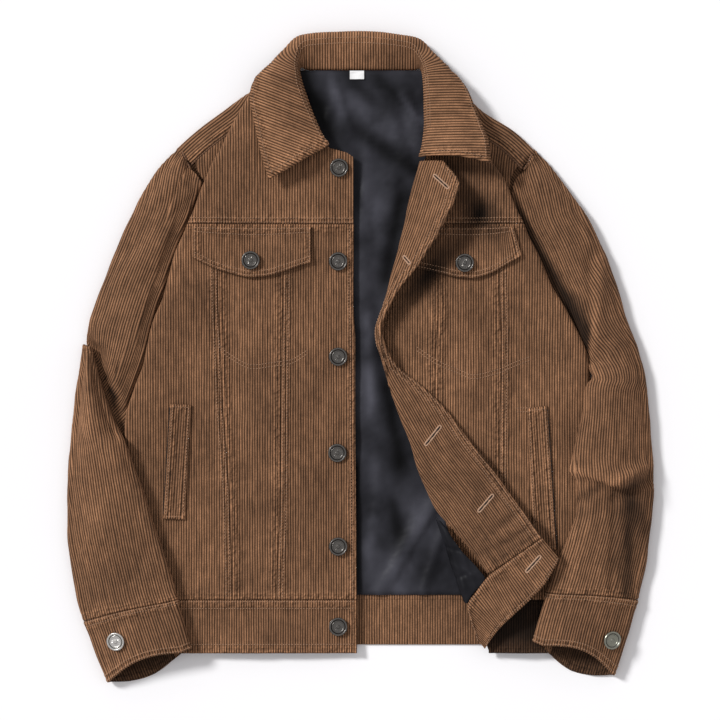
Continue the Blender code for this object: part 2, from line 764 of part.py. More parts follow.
def sleeve_section(side, tab, key, wall=CORDUROY, count=6, turns=4):
    """One row of a sleeve, from the inner end of its lower layer, round its outer fold and
    over its top to the inner end of its upper layer."""
    row = {name: float(read(tab, name, key)) for name in tab}
    outer = np.array([row["out_x"], row["out_y"]])
    inner = np.array([row["in_x"], row["in_y"]])
    wide = np.linalg.norm(outer - inner)
    away = (outer - inner) / wide
    along = np.array([away[1], -away[0]])
    along = along * (-1 if along[1] > 0 else 1)

    def base(a):
        x, y = inner + away * a
        held = row["lift"] * ease((14 - a) / 9)
        return wall / 2 + max(held, row["over"] * float(body_support(x, y)))

    turn_wide = min(6.5, wide * 0.35)
    rim_low = base(0)
    rim = row["rim"] / 2
    squeeze = min(1, wide * 0.35 / rim)
    level = rim_low + row["rim"]
    out_low = base(wide)
    half = row["edge"] / 2
    bend = 0.93 * math.pi
    last = (rim * row["wrap"] + bend * rim * (1 - row["wrap"])) * squeeze
    closed = bend * row["wrap"]
    slit = last - rim * squeeze * math.sin(closed) / max(row["wrap"], 0.05)
    start = max((slit + math.sin(closed) + 1.5) * (row["wrap"] > 0.05), row["back"])
    fine = np.linspace(start, wide - turn_wide, 60)
    level_at = np.array([base(a) for a in fine])
    run = np.concatenate([[0], np.cumsum(np.hypot(np.diff(fine), 5 * np.diff(level_at)))])
    spots = np.interp(np.linspace(0, run[-1], count), run, fine)
    points = [(a, base(a)) for a in spots]
    angles = np.linspace(0, math.pi, turns + 2)[1:]
    points += [(wide - turn_wide * (1 - math.sin(a)), out_low + half * (1 - math.cos(a)))
               for a in angles]
    bulge = max(0, row["crown"] - (out_low + 2 * half + level) / 2)
    t = np.linspace(0, 1, 60)
    a = wide - turn_wide + (last - wide + turn_wide) * t
    x, y = (inner + away * a[:, None]).T
    arch = np.maximum(0, np.sin(math.pi * t))
    high = out_low + 2 * half + (level - out_low - 2 * half) * t + bulge * arch ** 0.8
    high = high + folds_at(SLEEVE_FOLDS[side], x, y) * arch ** 0.5
    limited = row["over"] < 0.5 and tab is not RIGHT_FOREARM
    if limited:
        high = np.minimum(high, sleeve_top_limit(side, x, y) + 40 * row["over"])
    run = np.concatenate([[0], np.cumsum(np.hypot(np.diff(a), 2 * np.diff(high)))])
    for part in np.linspace(0, run[-1], count + 2)[1:]:
        points.append((float(np.interp(part, run, a)), float(np.interp(part, run, high))))
    for t in np.linspace(0, 1, turns)[1:]:
        if row["wrap"] < 0.05:
            points.append((last - bend * rim * t, level))
        else:
            radius = rim / row["wrap"]
            angle = bend * row["wrap"] * t
            a = last - radius * squeeze * math.sin(angle)
            points.append((a, level - radius * (1 - math.cos(angle))))
    placed = []
    for i, (a, z) in enumerate(points):
        share = min(1, max(0, (a - 2.4 * rim) / (wide - 2.4 * rim)))
        bow = -row["bow_top"] if i >= count + turns // 2 + 1 else row["bow_low"]
        x, y = inner + away * a + along * bow * math.sin(math.pi * share)
        if limited and i >= count:
            z = min(z, float(sleeve_top_limit(side, x, y)) + 40 * row["over"])
        placed.append((x, y, z))
    return placed


def build_sleeves():
    def rows(side, tab, keys, wall=CORDUROY):
        return [sleeve_section(side, tab, key, wall) for key in keys]

    gap = 0.004
    keys = np.concatenate([np.linspace(0, 6, 10), np.linspace(6.5, 9, 5)])
    cloth("right_sleeve_upper", rows("right", RIGHT_UPPER_ARM, keys))
    cloth("right_sleeve_forearm", rows("right", RIGHT_FOREARM, np.linspace(0, 8 - gap, 17)))
    cloth("right_cuff", rows("right", RIGHT_FOREARM, np.linspace(8 + gap, 9, 5), DOUBLE), DOUBLE)
    keys = np.concatenate([np.linspace(0, 6, 10), np.linspace(6.5, LEFT_ELBOW - 8 * gap, 8)])
    cloth("left_sleeve_upper", rows("left", LEFT_SLEEVE, keys))
    keys = np.concatenate([np.linspace(LEFT_ELBOW + 8 * gap, 11, 2),
                           np.linspace(11.8, 19 - gap, 10)])
    cloth("left_sleeve_forearm", rows("left", LEFT_SLEEVE, keys))
    cloth("left_cuff", rows("left", LEFT_SLEEVE, np.linspace(19 + gap, 20, 5), DOUBLE), DOUBLE)


# ---------------------------------------------------------------- the collar

# Lines across the collar, from the front end of its right leaf round the back of the neck to
# the front end of its left leaf: the neck seam, the stand, the roll, the leaf and its edge.
COLLAR_PARTS = ("neck", "rise", "roll", "leaf", "edge")
COLLAR = {
    "neck": table(
        "row x y z",
        (0, -35, 243.5, 12.8),
        (1, -42, 253, 12.8),
        (2, -50, 270, 12.8),
        (3, -59, 293, 13.5),
        (4, -66, 314, 13.5),
        (5, -68.5, 327, 11),
        (6, -66, 331, 7),
        (7, -58, 328.6, 5),
        (8, 0, 328.4, 5),
        (9, 58, 328.6, 5),
        (10, 66, 330, 7),
        (11, 69, 326, 11),
        (12, 71, 309, 14),
        (13, 72, 290, 14.5),
        (14, 72, 268, 15),
        (15, 70, 246, 15.5),
        (16, 66, 230, 16),
    ),
    "rise": table(
        "row x y z",
        (0, -36, 243, 16),
        (1, -44, 253.5, 16.5),
        (2, -52.5, 270.5, 16.5),
        (3, -62, 293, 17.5),
        (4, -69, 315, 17.5),
        (5, -71, 330, 16),
        (6, -68, 341, 14),
        (7, -60, 347, 14),
        (8, 0, 349, 15),
        (9, 57, 345, 14),
        (10, 66, 338, 14),
        (11, 71, 328, 16.5),
        (12, 73, 309, 19),
        (13, 74, 290, 20),
        (14, 74.5, 268, 21),
        (15, 72.5, 246, 22),
        (16, 68.5, 230, 22.5),
    ),
    "roll": table(
        "row x y z",
        (0, -40, 240, 20.5),
        (1, -48, 254, 21),
        (2, -57, 271, 21.5),
        (3, -67, 293, 22.5),
        (4, -74, 316, 23),
        (5, -75, 334, 22),
        (6, -72, 350, 20.5),
        (7, -62, 361, 19.5),
        (8, 0, 365, 19),
        (9, 57, 358, 19.5),
        (10, 68, 346, 20.5),
        (11, 75, 331, 23),
        (12, 78, 310, 25),
        (13, 80, 290, 27),
        (14, 80, 268, 29),
        (15, 78, 246, 31),
        (16, 75, 230, 32),
    ),
    "leaf": table(
        "row x y z",
        (0, -70, 222, 26),
        (1, -79, 240, 26.5),
        (2, -88, 268, 27),
        (3, -97, 295, 27),
        (4, -99, 317, 26),
        (5, -91, 337, 20),
        (6, -83, 351, 14),
        (7, -67, 366, 9),
        (8, 0, 369, 8),
        (9, 63, 363, 9),
        (10, 79, 348, 15),
        (11, 90, 334, 22),
        (12, 100, 311, 28),
        (13, 106, 288, 31),
        (14, 110, 266, 34),
        (15, 111, 245, 37),
        (16, 108, 228.5, 38),
    ),
    "edge": table(
        "row x y z",
        (0, -102, 204, 21.5),
        (1, -110, 228, 22),
        (2, -118, 265, 22),
        (3, -124, 297, 21.5),
        (4, -119, 316, 19),
        (5, -101, 334, 12),
        (6, -90, 346, 6),
        (7, -70, 352, 1.2),
        (8, 0, 340, 1.2),
        (9, 66, 352, 1.2),
        (10, 86, 341, 6),
        (11, 101, 327, 13),
        (12, 119, 305, 22),
        (13, 128, 284, 26),
        (14, 136, 263, 30),
        (15, 143, 242, 34),
        (16, 145, 221, 36),
    ),
}


def collar_rows(keys, steps=2):
    """The collar's rows, each a smooth curve through its five points."""
    rows = []
    for key in keys:
        five = [[float(read(COLLAR[part], axis, key)) for axis in "xyz"] for part in COLLAR_PARTS]
        five = np.array(five)
        ends = np.concatenate([[2 * five[0] - five[1]], five, [2 * five[-1] - five[-2]]])
        row = []
        for i in range(4):
            before, start, stop, after = ends[i:i + 4]
            for t in np.arange(steps) / steps:
                bend = (2 * start + (stop - before) * t
                        + (2 * before - 5 * start + 4 * stop - after) * t ** 2
                        + (3 * start - before - 3 * stop + after) * t ** 3)
                row.append(bend / 2)
        row.append(five[-1])
        rows.append(row)
    return rows


def build_collar():
    keys = np.concatenate([np.linspace(0, 4, 7), np.linspace(4.6, 7, 5), np.linspace(7.5, 8.5, 3),
                           np.linspace(9, 12, 6), np.linspace(12.6, 16, 6)])
    cloth("collar", collar_rows(keys), DOUBLE)
    label = [[(x, y, 10.8) for x in (-12, -4, 4)] for y in (317.5, 327)]
    cloth("neck_label", label, 0.8, WHITE, 0.8)


# ---------------------------------------------------------------- the buttons

BUTTON_PROFILE = table(
    "row r z",
    (0, 0, 3.2),
    (1, 7.6, 2.8),
    (2, 8.8, 3.8),
    (3, 10.4, 3.4),
    (4, 10.0, 0.6),
    (5, 8.6, 0),
    (6, 0, 0),
)
BUTTONS = table(
    "row x y",
    (1, -24, 218),
    (2, -25, 113),
    (3, -25, 6),
    (4, -26, -102),
    (5, -25, -207),
    (6, -25, -297),
)
FLAP_BUTTONS = {"right": (-123, 114), "left": (117, 111)}
CUFF_BUTTONS = {"right": (-273, -312), "left": (281, -311)}


def build_button(name, x, y, height, colour):
    """A button whose flat back lies just above the cloth under it, tilted as the cloth is."""
    shape = bmesh.new()
    corners = [shape.verts.new((r * MM, 0, z * MM))
               for r, z in zip(BUTTON_PROFILE["r"], BUTTON_PROFILE["z"])]
    for start, stop in zip(corners, corners[1:]):
        shape.edges.new((start, stop))
    mesh = bpy.data.meshes.new(name)
    shape.to_mesh(mesh)
    shape.free()
    button = bpy.data.objects.new(name, mesh)
    turn = button.modifiers.new("turn", "SCREW")
    turn.steps = turn.render_steps = 12
    turn.use_merge_vertices = True
    turn.merge_threshold = 0.00001
    turn.use_normal_calculate = True
    mesh.materials.append(material(name + "_metal", colour, 0.35, 0.9))
    JACKET.objects.link(button)
    ring = [(math.cos(a), math.sin(a)) for a in np.linspace(0, 2 * math.pi, 13)[:-1]]
    under = np.array([(BUTTON_RADIUS * c, BUTTON_RADIUS * s) for c, s in ring] + [(0, 0)])
    level = np.array([height(x + dx, y + dy) for dx, dy in under])
    slope = np.linalg.lstsq(np.column_stack([under, np.ones(len(under))]), level, rcond=None)[0]
    rest = np.max(level - under @ slope[:2])
    normal = Vector((-slope[0], -slope[1], 1)).normalized()
    button.rotation_euler = normal.to_track_quat("Z", "Y").to_euler()
    button.location = (np.array((x, y, rest)) + np.array(normal) * SEAM_GAP - MIDDLE) * MM
    return button


def build_buttons(cuffs):
    def on_front(side, lift):
        return lambda x, y: float(front_height(side, np.array(float(x)), y)) + lift

    for row, x, y in zip(*BUTTONS.values()):
        build_button(f"front_button_{int(row)}", x, y, on_front("right", CORDUROY / 2), DARK_METAL)
    for side, (x, y) in FLAP_BUTTONS.items():
        lift = CORDUROY / 2 + SEAM_GAP + DOUBLE + 0.4 + 1.4
        build_button(side + "_flap_button", x, y, on_front(side, lift), DARK_METAL)
    for side, (x, y) in CUFF_BUTTONS.items():
        points = np.concatenate(cuffs[side])

        def on_cuff(x, y, points=points):
            away = points[:, :2] - (x, y)
            near = np.exp(-(away ** 2).sum(1) / 14) * (points[:, 2] > 9)
            plane = np.column_stack([away, np.ones(len(away))]) * near[:, None]
            fit = np.linalg.lstsq(plane, points[:, 2] * near, rcond=None)[0]
            return float(fit[2]) + DOUBLE / 2 + 0.4

        build_button(side + "_cuff_button", x, y, on_cuff, SILVER)


def build():
    build_right_front()
    build_left_front()
    build_flap("right", RIGHT_FLAP, 0)
    build_flap("left", LEFT_FLAP, -9)
    build_welt("right")
    build_welt("left")
    build_back()
    build_sleeves()
    build_collar()
    keys = np.linspace(0, 1, 30)
    build_buttons({
        "right": [sleeve_section("right", RIGHT_FOREARM, 8 + key, DOUBLE, 40) for key in keys],
        "left": [sleeve_section("left", LEFT_SLEEVE, 19 + key, DOUBLE, 40) for key in keys],
    })


JACKET = clear_scene()
build()
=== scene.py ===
"""The look of a corduroy trucker jacket laid flat on its back, its left front turned back.

The jacket lies on the plane Z = 0 with its hem towards -Y, and the wearer's right is at -X.
Each piece of cloth is woven here as a thin shell on the form of its solid: columns of points
follow the wales of the corduroy and rows cross them. Lengths in the tables are in millimetres.
"""

import math

import bmesh
import bpy
import numpy as np
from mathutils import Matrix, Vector


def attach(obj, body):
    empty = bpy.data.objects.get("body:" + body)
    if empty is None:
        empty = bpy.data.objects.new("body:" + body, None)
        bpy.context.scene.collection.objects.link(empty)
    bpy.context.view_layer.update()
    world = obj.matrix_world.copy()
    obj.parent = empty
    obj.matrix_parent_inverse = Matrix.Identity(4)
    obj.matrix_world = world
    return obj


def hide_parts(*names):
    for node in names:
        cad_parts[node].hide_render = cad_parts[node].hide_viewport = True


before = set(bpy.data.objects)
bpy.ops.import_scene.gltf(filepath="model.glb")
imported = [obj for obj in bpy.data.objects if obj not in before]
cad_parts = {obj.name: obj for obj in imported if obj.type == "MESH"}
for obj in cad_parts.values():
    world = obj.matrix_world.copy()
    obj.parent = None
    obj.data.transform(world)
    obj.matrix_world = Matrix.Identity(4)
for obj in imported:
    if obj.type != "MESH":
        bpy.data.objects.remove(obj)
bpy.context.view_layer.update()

MM = 0.001
CORDUROY = 1.8
DOUBLE = 2.4
SATIN = 1.0
SEAM_GAP = 0.3
FLOOR = CORDUROY / 2
LOW = 8.0
LIP = 18.0
HEM_Y = -327.0
BAND_Y = -267.0
YOKE_Y = 155.0
MIDDLE = np.array((0.0, 5.25, 0.0))


def table(columns, *rows):
    """A small table as {column: values}, its rows sorted by the first column."""
    data = np.array(sorted(rows), float)
    return {name: data[:, i] for i, name in enumerate(columns.split())}


def read(tab, column, key):
    """A column of a table at any key, on a smooth curve that never overshoots its rows."""
    x = next(iter(tab.values()))
    y = tab[column]
    step = np.diff(x)
    rise = np.diff(y) / step
    slope = np.concatenate([rise[:1], np.zeros(len(x) - 2), rise[-1:]])
    same = rise[1:] * rise[:-1] > 0
    near = 2 * step[1:] + step[:-1]
    far = step[1:] + 2 * step[:-1]
    mean = (near + far) / (near / np.where(same, rise[:-1], 1) + far / np.where(same, rise[1:], 1))
    slope[1:-1] = np.where(same, mean, 0)
    key = np.clip(key, x[0], x[-1])
    i = np.clip(np.searchsorted(x, key, "right") - 1, 0, len(x) - 2)
    t = (key - x[i]) / step[i]
    ends = (1 + 2 * t) * (1 - t) ** 2 * y[i] + t * t * (3 - 2 * t) * y[i + 1]
    return ends + step[i] * t * (1 - t) * ((1 - t) * slope[i] - t * slope[i + 1])


def ease(t):
    """0 below 0, 1 above 1, and a smooth step between."""
    t = np.clip(t, 0, 1)
    return t * t * (3 - 2 * t)


def ridge(t):
    """A soft ridge of height 1 at t = 0, gone by t = 2 or so."""
    return np.exp(-t * t)

FOLD = "x0 y0 x1 y1 wide high"

RIGHT_SIDE = table(
    "y fold arm full top lip",
    (302, -124, -104, -170, 18, 11.5),
    (262, -146, -140, -180, 18, 11.5),
    (239, -157, -172, -200, 18, 11.5),
    (223, -166, -187, -200, 18, 11.5),
    (204, -174, -178, -205, 19, 11.5),
    (190, -180, -171, -208, 19, 11),
    (157, -193, -170, -220, 19, 10.4),
    (123, -207, -181, -232, 19, 10.4),
    (76, -221, -200, -246, 19, 10.4),
    (41, -234, -212, -256, 18, 10.4),
    (2, -242, -221, -266, 18, 10.4),
    (-29, -254, -232, -274, 17, 10.4),
    (-56, -262, -240, -280, 17, 10.4),
    (-78, -264, -244, -284, 16, 10),
    (-106, -262, -240, -284, 13, 0.9),
    (-155, -252, -231, -280, 12, 0.9),
    (-222, -231, -210, -270, 12, 0.9),
    (-267, -219, -198, -262, 12, 0.9),
    (-328, -208, -187, -250, 11, 0.9),
)

LEFT_SIDE = table(
    "y fold arm full top lip",
    (302, 118, 96, 150, 18, 11.5),
    (262, 132, 138, 190, 18, 11.5),
    (239, 141, 172, 196, 18, 11.5),
    (226, 147, 178, 200, 19, 11.5),
    (204, 162, 170, 210, 20, 11.5),
    (172, 175, 166, 228, 20, 11),
    (153, 184, 168, 238, 20, 10.4),
    (123, 198, 180, 252, 20, 10.4),
    (92, 212, 193, 266, 20, 10.4),
    (58, 230, 209, 262, 20, 10.4),
    (27, 247, 228, 260, 19, 10.4),
    (8, 254, 235, 268, 17, 10),
    (-20, 258, 238, 272, 14, 0.9),
    (-60, 262, 241, 276, 12, 0.9),
    (-100, 262, 241, 276, 12, 0.9),
    (-155, 258, 237, 272, 12, 0.9),
    (-222, 238, 217, 250, 12, 0.9),
    (-267, 224, 203, 236, 12, 0.9),
    (-328, 212, 191, 226, 11, 0.9),
)

RIGHT_SEAMS = table(
    "y outer inner edge",
    (241, -160, -86, -32),
    (235, -160, -86, -10),
    (200, -160, -86, -7),
    (69, -160, -87, -8),
    (25, -158, -88, -6),
    (-43, -155, -89, -6),
    (-155, -147, -90, -5),
    (-267, -144, -94, -4),
    (-328, -144, -94, -4),
)

LEFT_SEAMS = table(
    "y outer inner edge",
    (302, 156, 88, 78),
    (254, 156, 88, 75),
    (204, 156, 88, 63),
    (170, 156, 88, 52),
    (125, 156, 88, 43),
    (66, 157, 88, 27),
    (30, 158, 86, 17),
    (2, 158, 84, 25),
    (-62, 157, 83, 46),
    (-124, 156, 84, 67),
    (-166, 154, 88, 86),
    (-205, 153, 101, 98),
    (-250, 151, 113, 111),
    (-267, 150, 119, 117),
    (-324, 150, 141, 139),
)

SIDES = {"right": (RIGHT_SIDE, RIGHT_SEAMS, -1), "left": (LEFT_SIDE, LEFT_SEAMS, 1)}

FRONT_FOLDS = {
    "right": table(
        FOLD,
        (-152, 58, -146, -90, 13, -2.2),
        (-178, 60, -176, -60, 14, 1.6),
        (-118, 60, -112, -150, 20, 1.5),
        (-60, 120, -50, -120, 16, -1.2),
        (-205, -190, -160, -205, 8, -1.4),
    ),
    "left": table(
        FOLD,
        (150, 60, 152, -120, 10, -1.6),
        (120, 80, 112, -80, 18, 1.6),
        (205, 60, 222, -30, 14, 1.2),
        (60, -5, 160, 12, 14, -1.2),
        (190, 40, 235, -60, 12, -1.4),
    ),
}


def folds_at(tab, x, y):
    """The height that the straight soft folds of a table add at (x, y)."""
    total = 0 * x
    for x0, y0, x1, y1, wide, high in zip(*tab.values()):
        run = np.hypot(x1 - x0, y1 - y0)
        along = ((x - x0) * (x1 - x0) + (y - y0) * (y1 - y0)) / run
        across = ((x - x0) * (y1 - y0) - (y - y0) * (x1 - x0)) / run
        past = np.maximum(0, np.maximum(-along, along - run))
        total = total + high * ridge(np.hypot(across, past * 0.5) / wide)
    return total


def front_height(side, x, y):
    """The middle of a front's cloth, from its side fold to its front edge."""
    sides, seams, sign = SIDES[side]
    fold = read(sides, "fold", y)
    edge = read(seams, "edge", y)
    top = read(sides, "top", y)
    lip = read(sides, "lip", y)
    inward = (fold - x) * sign
    middle = 11 + 2 * ease((y - 100) / 150)
    at_edge = 8.6 + 3 * ease((y - 130) / 100)
    flat = top + (middle - top) * ease((inward - 12) / 70)
    flat = flat + (at_edge - middle) * ease(1 - (x - edge) * sign / 60)
    flat = flat + folds_at(FRONT_FOLDS[side], x, y) * ease((inward - 8) / 20)
    radius = (top - lip) / 2
    turn = np.clip((inward - FLOOR) / radius, 0, 1)
    drop = radius * (1 - np.sqrt(np.clip(turn * (2 - turn), 0, 1)))
    return flat - drop


def body_support(x, y):
    """How far the side of the body lifts what lies over it, beside the floor's level."""
    lift = 0 * x
    for sides, _, sign in SIDES.values():
        inward = (read(sides, "fold", y) - x) * sign
        high = read(sides, "top", y) + 3
        lift = np.maximum(lift, high * ease((inward + 9) / 10) * (x * sign > 0))
    return lift


def span(start, end, count):
    """Points at even distances on a straight line."""
    return np.linspace(0, 1, count)[:, None] * (np.array(end) - np.array(start)) + start

SHOULDERS = table(
    "x top",
    (-212, 233.5),
    (-207, 239),
    (-180, 263),
    (-157, 280),
    (-122, 305),
    (-95, 318),
    (-68, 327),
    (68, 327),
    (92, 318),
    (112, 306),
    (137, 282),
    (173, 259),
    (198, 235),
    (203, 229.5),
)


def shoulder_width(x):
    """How far the back yoke reaches over the shoulder line to the seam with the front."""
    return 6 + 18 * ease((np.abs(x) - 100) / 50)


def shoulder(x):
    """A point of the shoulder line and the direction from it into the body."""
    slope = (read(SHOULDERS, "top", x + 3) - read(SHOULDERS, "top", x - 3)) / 6
    inward = np.array([slope, -1]) / math.hypot(slope, 1)
    return np.array([x, read(SHOULDERS, "top", x)]), inward


def shoulder_seam(side):
    """The seam of the back yoke with a front, as x by y."""
    ends = (-206, -112) if side == "right" else (104, 197)
    points = []
    for x in np.linspace(*ends, 12):
        place, inward = shoulder(x)
        point = place + inward * shoulder_width(x)
        points.append((point[1], point[0]))
    return table("y x", *points)


def lower_end(side, y):
    """Where the lower layer of a front yoke ends: the shoulder seam, or the armhole seam."""
    seam = SHOULDER_SEAMS[side]
    if y > seam["y"][0]:
        return read(seam, "x", y)
    return read(SIDES[side][0], "arm", y)

SHOULDER_SEAMS = {side: shoulder_seam(side) for side in SIDES}


def turned_edge(side, y, lip, steps=14):
    """The side fold of a front at y, from the end of its lip up to where the top starts."""
    sides, _, sign = SIDES[side]
    fold = read(sides, "fold", y) - FLOOR * sign
    top = read(sides, "top", y)
    low = read(sides, "lip", y)
    radius = (top - low) / 2
    under = [(fold - sign * (radius + reach), y, low) for reach in (lip, lip / 2)]
    turn = [
        (fold - sign * radius * (1 - math.sin(a)), y, (top + low) / 2 - radius * math.cos(a))
        for a in np.linspace(0, math.pi, steps + 1)
    ]
    return under + turn

NECK = table(
    "y right left",
    (302, -67, 75),
    (285, -60, 74),
    (262, -51, 74),
    (250, -44, 74),
    (241, -36, 73),
    (236, -20, 71),
    (233, -8, 69),
    (155, -8, 52),
)

RIGHT_FLAP = table(
    "x foot",
    (-188, 117),
    (-180, 113),
    (-163, 105),
    (-146, 100),
    (-124, 95),
    (-107, 96),
    (-85, 102),
    (-68, 108),
    (-55, 112),
)

LEFT_FLAP = table(
    "x foot",
    (56, 107),
    (70, 104),
    (92, 99),
    (110, 95),
    (125, 94),
    (145, 99),
    (162, 108),
    (180, 119),
)

FLAPS = {"right": RIGHT_FLAP, "left": LEFT_FLAP}

FLAP_TOP = 152.0

WELTS = {
    "right": ((-213, -47), (-190, -48), (-197, -177), (-221, -176)),
    "left": ((187, -52), (209, -49), (220, -211), (194, -208)),
}

LEFT_FACING = table(
    "row fold_x fold_y edge_x edge_y rest crest free",
    (0, 67.5, 224.5, 92, 225, 16, 25, 30),
    (1, 66, 216, 110, 198, 16, 27, 38),
    (2, 57, 187, 104, 180, 15, 27, 40),
    (3, 48, 148, 89, 147, 14, 25, 38),
    (4, 40, 112, 66, 110, 13, 24, 33),
    (5, 28, 70, 37, 71, 12, 22, 27),
    (6, 17, 34, 24, 36, 12, 21, 23),
    (7, 25, 2, 38, 0, 12, 21, 24),
    (8, 34, -31, 68, -26, 12, 20, 26),
    (9, 46, -62, 94, -51, 12, 20, 29),
    (10, 57, -93, 119, -84, 12, 19, 32),
    (11, 67, -124, 143, -113, 12, 19, 34),
    (12, 86, -166, 168, -149, 12, 20, 36),
    (13, 106, -188, 184, -170, 12, 24, 37),
    (14, 125, -211, 194, -184, 12, 27, 38),
    (15, 145, -236, 202, -195, 12, 28, 38),
)

LEFT_BAND = table(
    "row fold_x fold_y edge_x edge_y crest free",
    (0, 202, -196, 221, -219, 38, 37),
    (1, 180, -211, 206, -246, 34, 36),
    (2, 160, -226, 188, -266, 31, 34),
    (3, 145, -237, 171, -282, 28, 31),
    (4, 130, -256, 159, -294, 24, 26),
    (5, 120, -274, 150, -305, 21, 21),
    (6, 132, -312, 139, -321, 18, 17),
)

LEFT_LINING = table(
    "row fold_x fold_y edge_x edge_y crest free",
    (0, 84, -174, 90, -179, 17, 18),
    (1, 91, -194, 112, -210, 16, 22),
    (2, 98, -216, 131, -230.5, 15, 24),
    (3, 105, -238, 139.5, -243, 15, 24),
    (4, 111, -256, 127.5, -257.5, 15, 21),
    (5, 117, -270, 120, -270, 16, 18),
)

LINING_FOLDS = table(
    FOLD,
    (6, 190, 4, -140, 7, 1.6),
    (-30, 300, -18, 250, 7, 2.2),
    (52, 300, 66, 240, 7, 2.2),
    (30, 290, 50, 230, 8, 2.0),
    (80, -160, 30, -250, 8, 2.2),
    (14, 20, 22, -220, 7, 1.2),
)


def lining_height(x, y):
    """The middle of the back lining's wall, over the back and the turned edge of its yoke."""
    rest = CORDUROY + SEAM_GAP + SATIN / 2
    over_yoke = (LOW - FLOOR) * ease((y - 308) / 10)
    return rest + over_yoke + np.maximum(0, folds_at(LINING_FOLDS, x, y)) * ease((318 - y) / 20)

SLEEVE_COLUMNS = "row out_x out_y in_x in_y back lift edge rim crown wrap over bow_top bow_low"

RIGHT_UPPER_ARM = table(
    SLEEVE_COLUMNS,
    (0, -209, 241, -190.5, 216.5, 22, 0, 6, 7.1, 10, 0, 0, 0, 0),
    (1, -226, 218, -179.5, 203, 16, 0, 9, 7.1, 17, 0, 0, 0, 0),
    (2, -247, 183, -172, 159, 2, 0, 12, 7.1, 22, 0, 0, 0, 0),
    (3, -269, 137, -183, 122, 1.5, 0, 13, 7.1, 24, 0, 0, 0, 0),
    (4, -287, 92, -202, 76, 0, 0, 13, 7.1, 24, 0, 0, 0, 0),
    (5, -303, 47, -219, 19, 0, 0, 12, 7.1, 22, 0, 0, 0, 0),
    (6, -305, 36, -231, -22, 0, 0, 11, 7.1, 20, 0, 0, 0, 0),
    (7, -307.5, 25, -246, -66, 0, 0, 7, 6.5, 16, 0.2, 0, 0, 0),
    (8, -307, 15, -268, -84, 0, 0, 3.7, 3.7, 4.6, 1, 0, 0, 0),
    (9, -306, 9, -269, -89, 0, 0, 3.7, 3.7, 4.6, 1, 0, 0, 0),
)

RIGHT_FOREARM = table(
    SLEEVE_COLUMNS,
    (0, -311, 20, -302, 16, 0, 6.2, 9, 9, 14, 1, 1, 0, 0),
    (1, -313.5, 2, -299, 1, 0, 6.2, 13, 9, 18, 1, 1, 0, 0),
    (2, -318, -27, -291, -27, 0, 6.2, 13, 13, 27, 1, 1, 0, 0),
    (3, -322, -59, -280, -59, 0, 6.2, 13, 13, 28, 1, 1, 0, 0),
    (4, -325, -93, -264, -91, 0, 6.2, 13, 12, 29, 1, 1, 0, 0),
    (5, -329, -151, -242, -151, 0, 3, 13, 11, 30, 1, 1, 0, 0),
    (6, -328, -199, -226, -199, 0, 0, 13, 11, 30, 1, 1, 0, 0),
    (7, -320, -255, -209, -251, 0, 0, 13, 11, 29, 1, 1, 0, 0),
    (8, -310, -291, -206, -266, 0, 0, 13, 10, 28, 1, 1, 2, 2),
    (9, -283, -360, -191, -321, 0, 0, 12, 9, 26, 1, 1, 10, 12),
)

LEFT_SLEEVE = table(
    SLEEVE_COLUMNS,
    (0, 201, 238, 183, 215, 21, 0, 6, 7.1, 10, 0, 0, 0, 0),
    (1, 223, 207, 172, 200, 15, 0, 9, 7.1, 17, 0, 0, 0, 0),
    (2, 246, 174, 168.7, 157, 1, 0, 12, 7.1, 22, 0, 0, 0, 0),
    (3, 268, 133, 183.5, 119, 0, 0, 13, 7.1, 24, 0, 0, 0, 0),
    (4, 283, 97, 202, 76, 0, 0, 13, 7.1, 25, 0, 0, 0, 0),
    (5, 298, 49, 225, 36, 0, 0, 13, 7.1, 25, 0, 0, 0, 0),
    (6, 304, 32, 238, 20, 0, 0, 13, 7.1, 24, 0.1, 0, 0, 0),
    (7, 310, 16, 252, 8, 0, 0, 13, 7.1, 23, 0.4, 0, 0, 0),
    (8, 314, 2, 257.5, 1, 0, 0, 13, 7.1, 23, 0.8, 0, 0, 0),
    (9, 317, -7, 261, -4, 0, 7, 13, 8, 25, 0.9, 0, 0, 0),
    (10, 319.5, -20, 262.8, -16, 0, 15.8, 13, 8, 28, 1, 0.3, 0, 0),
    (11, 321.5, -33, 252, -28, 0, 15.8, 13, 9, 30, 1, 1, 0, 0),
    (12, 323, -54, 246, -54, 0, 0, 13, 10, 30, 1, 1, 0, 0),
    (13, 326, -87, 240.5, -90, 0, 0, 13, 10, 30, 1, 1, 0, 0),
    (14, 328, -110, 238, -115, 0, 0, 13, 10, 30, 1, 1, 0, 0),
    (15, 329, -140, 244, -140, 0, 0, 13, 10, 30, 1, 1, 0, 0),
    (16, 328, -165, 243, -165, 0, 0, 13, 10, 30, 1, 1, 0, 0),
    (17, 324, -194, 233, -196, 0, 0, 13, 10, 30, 1, 1, 0, 0),
    (18, 319, -233, 217, -232, 0, 0, 13, 10, 29, 1, 1, 0, 0),
    (19, 311, -267, 209, -258, 0, 0, 13, 10, 28, 1, 1, 2, 2),
    (20, 284, -352, 194, -313, 0, 0, 12, 9, 26, 1, 1, 12.5, 14.5),
)

FOREARM_EDGE = table(
    "y x",
    (34, -320),
    (24, -309),
    (14, -299),
    (1, -297),
    (-27, -290),
    (-59, -279),
    (-93, -264),
    (-151, -242),
)

FLAT_END = 4.6

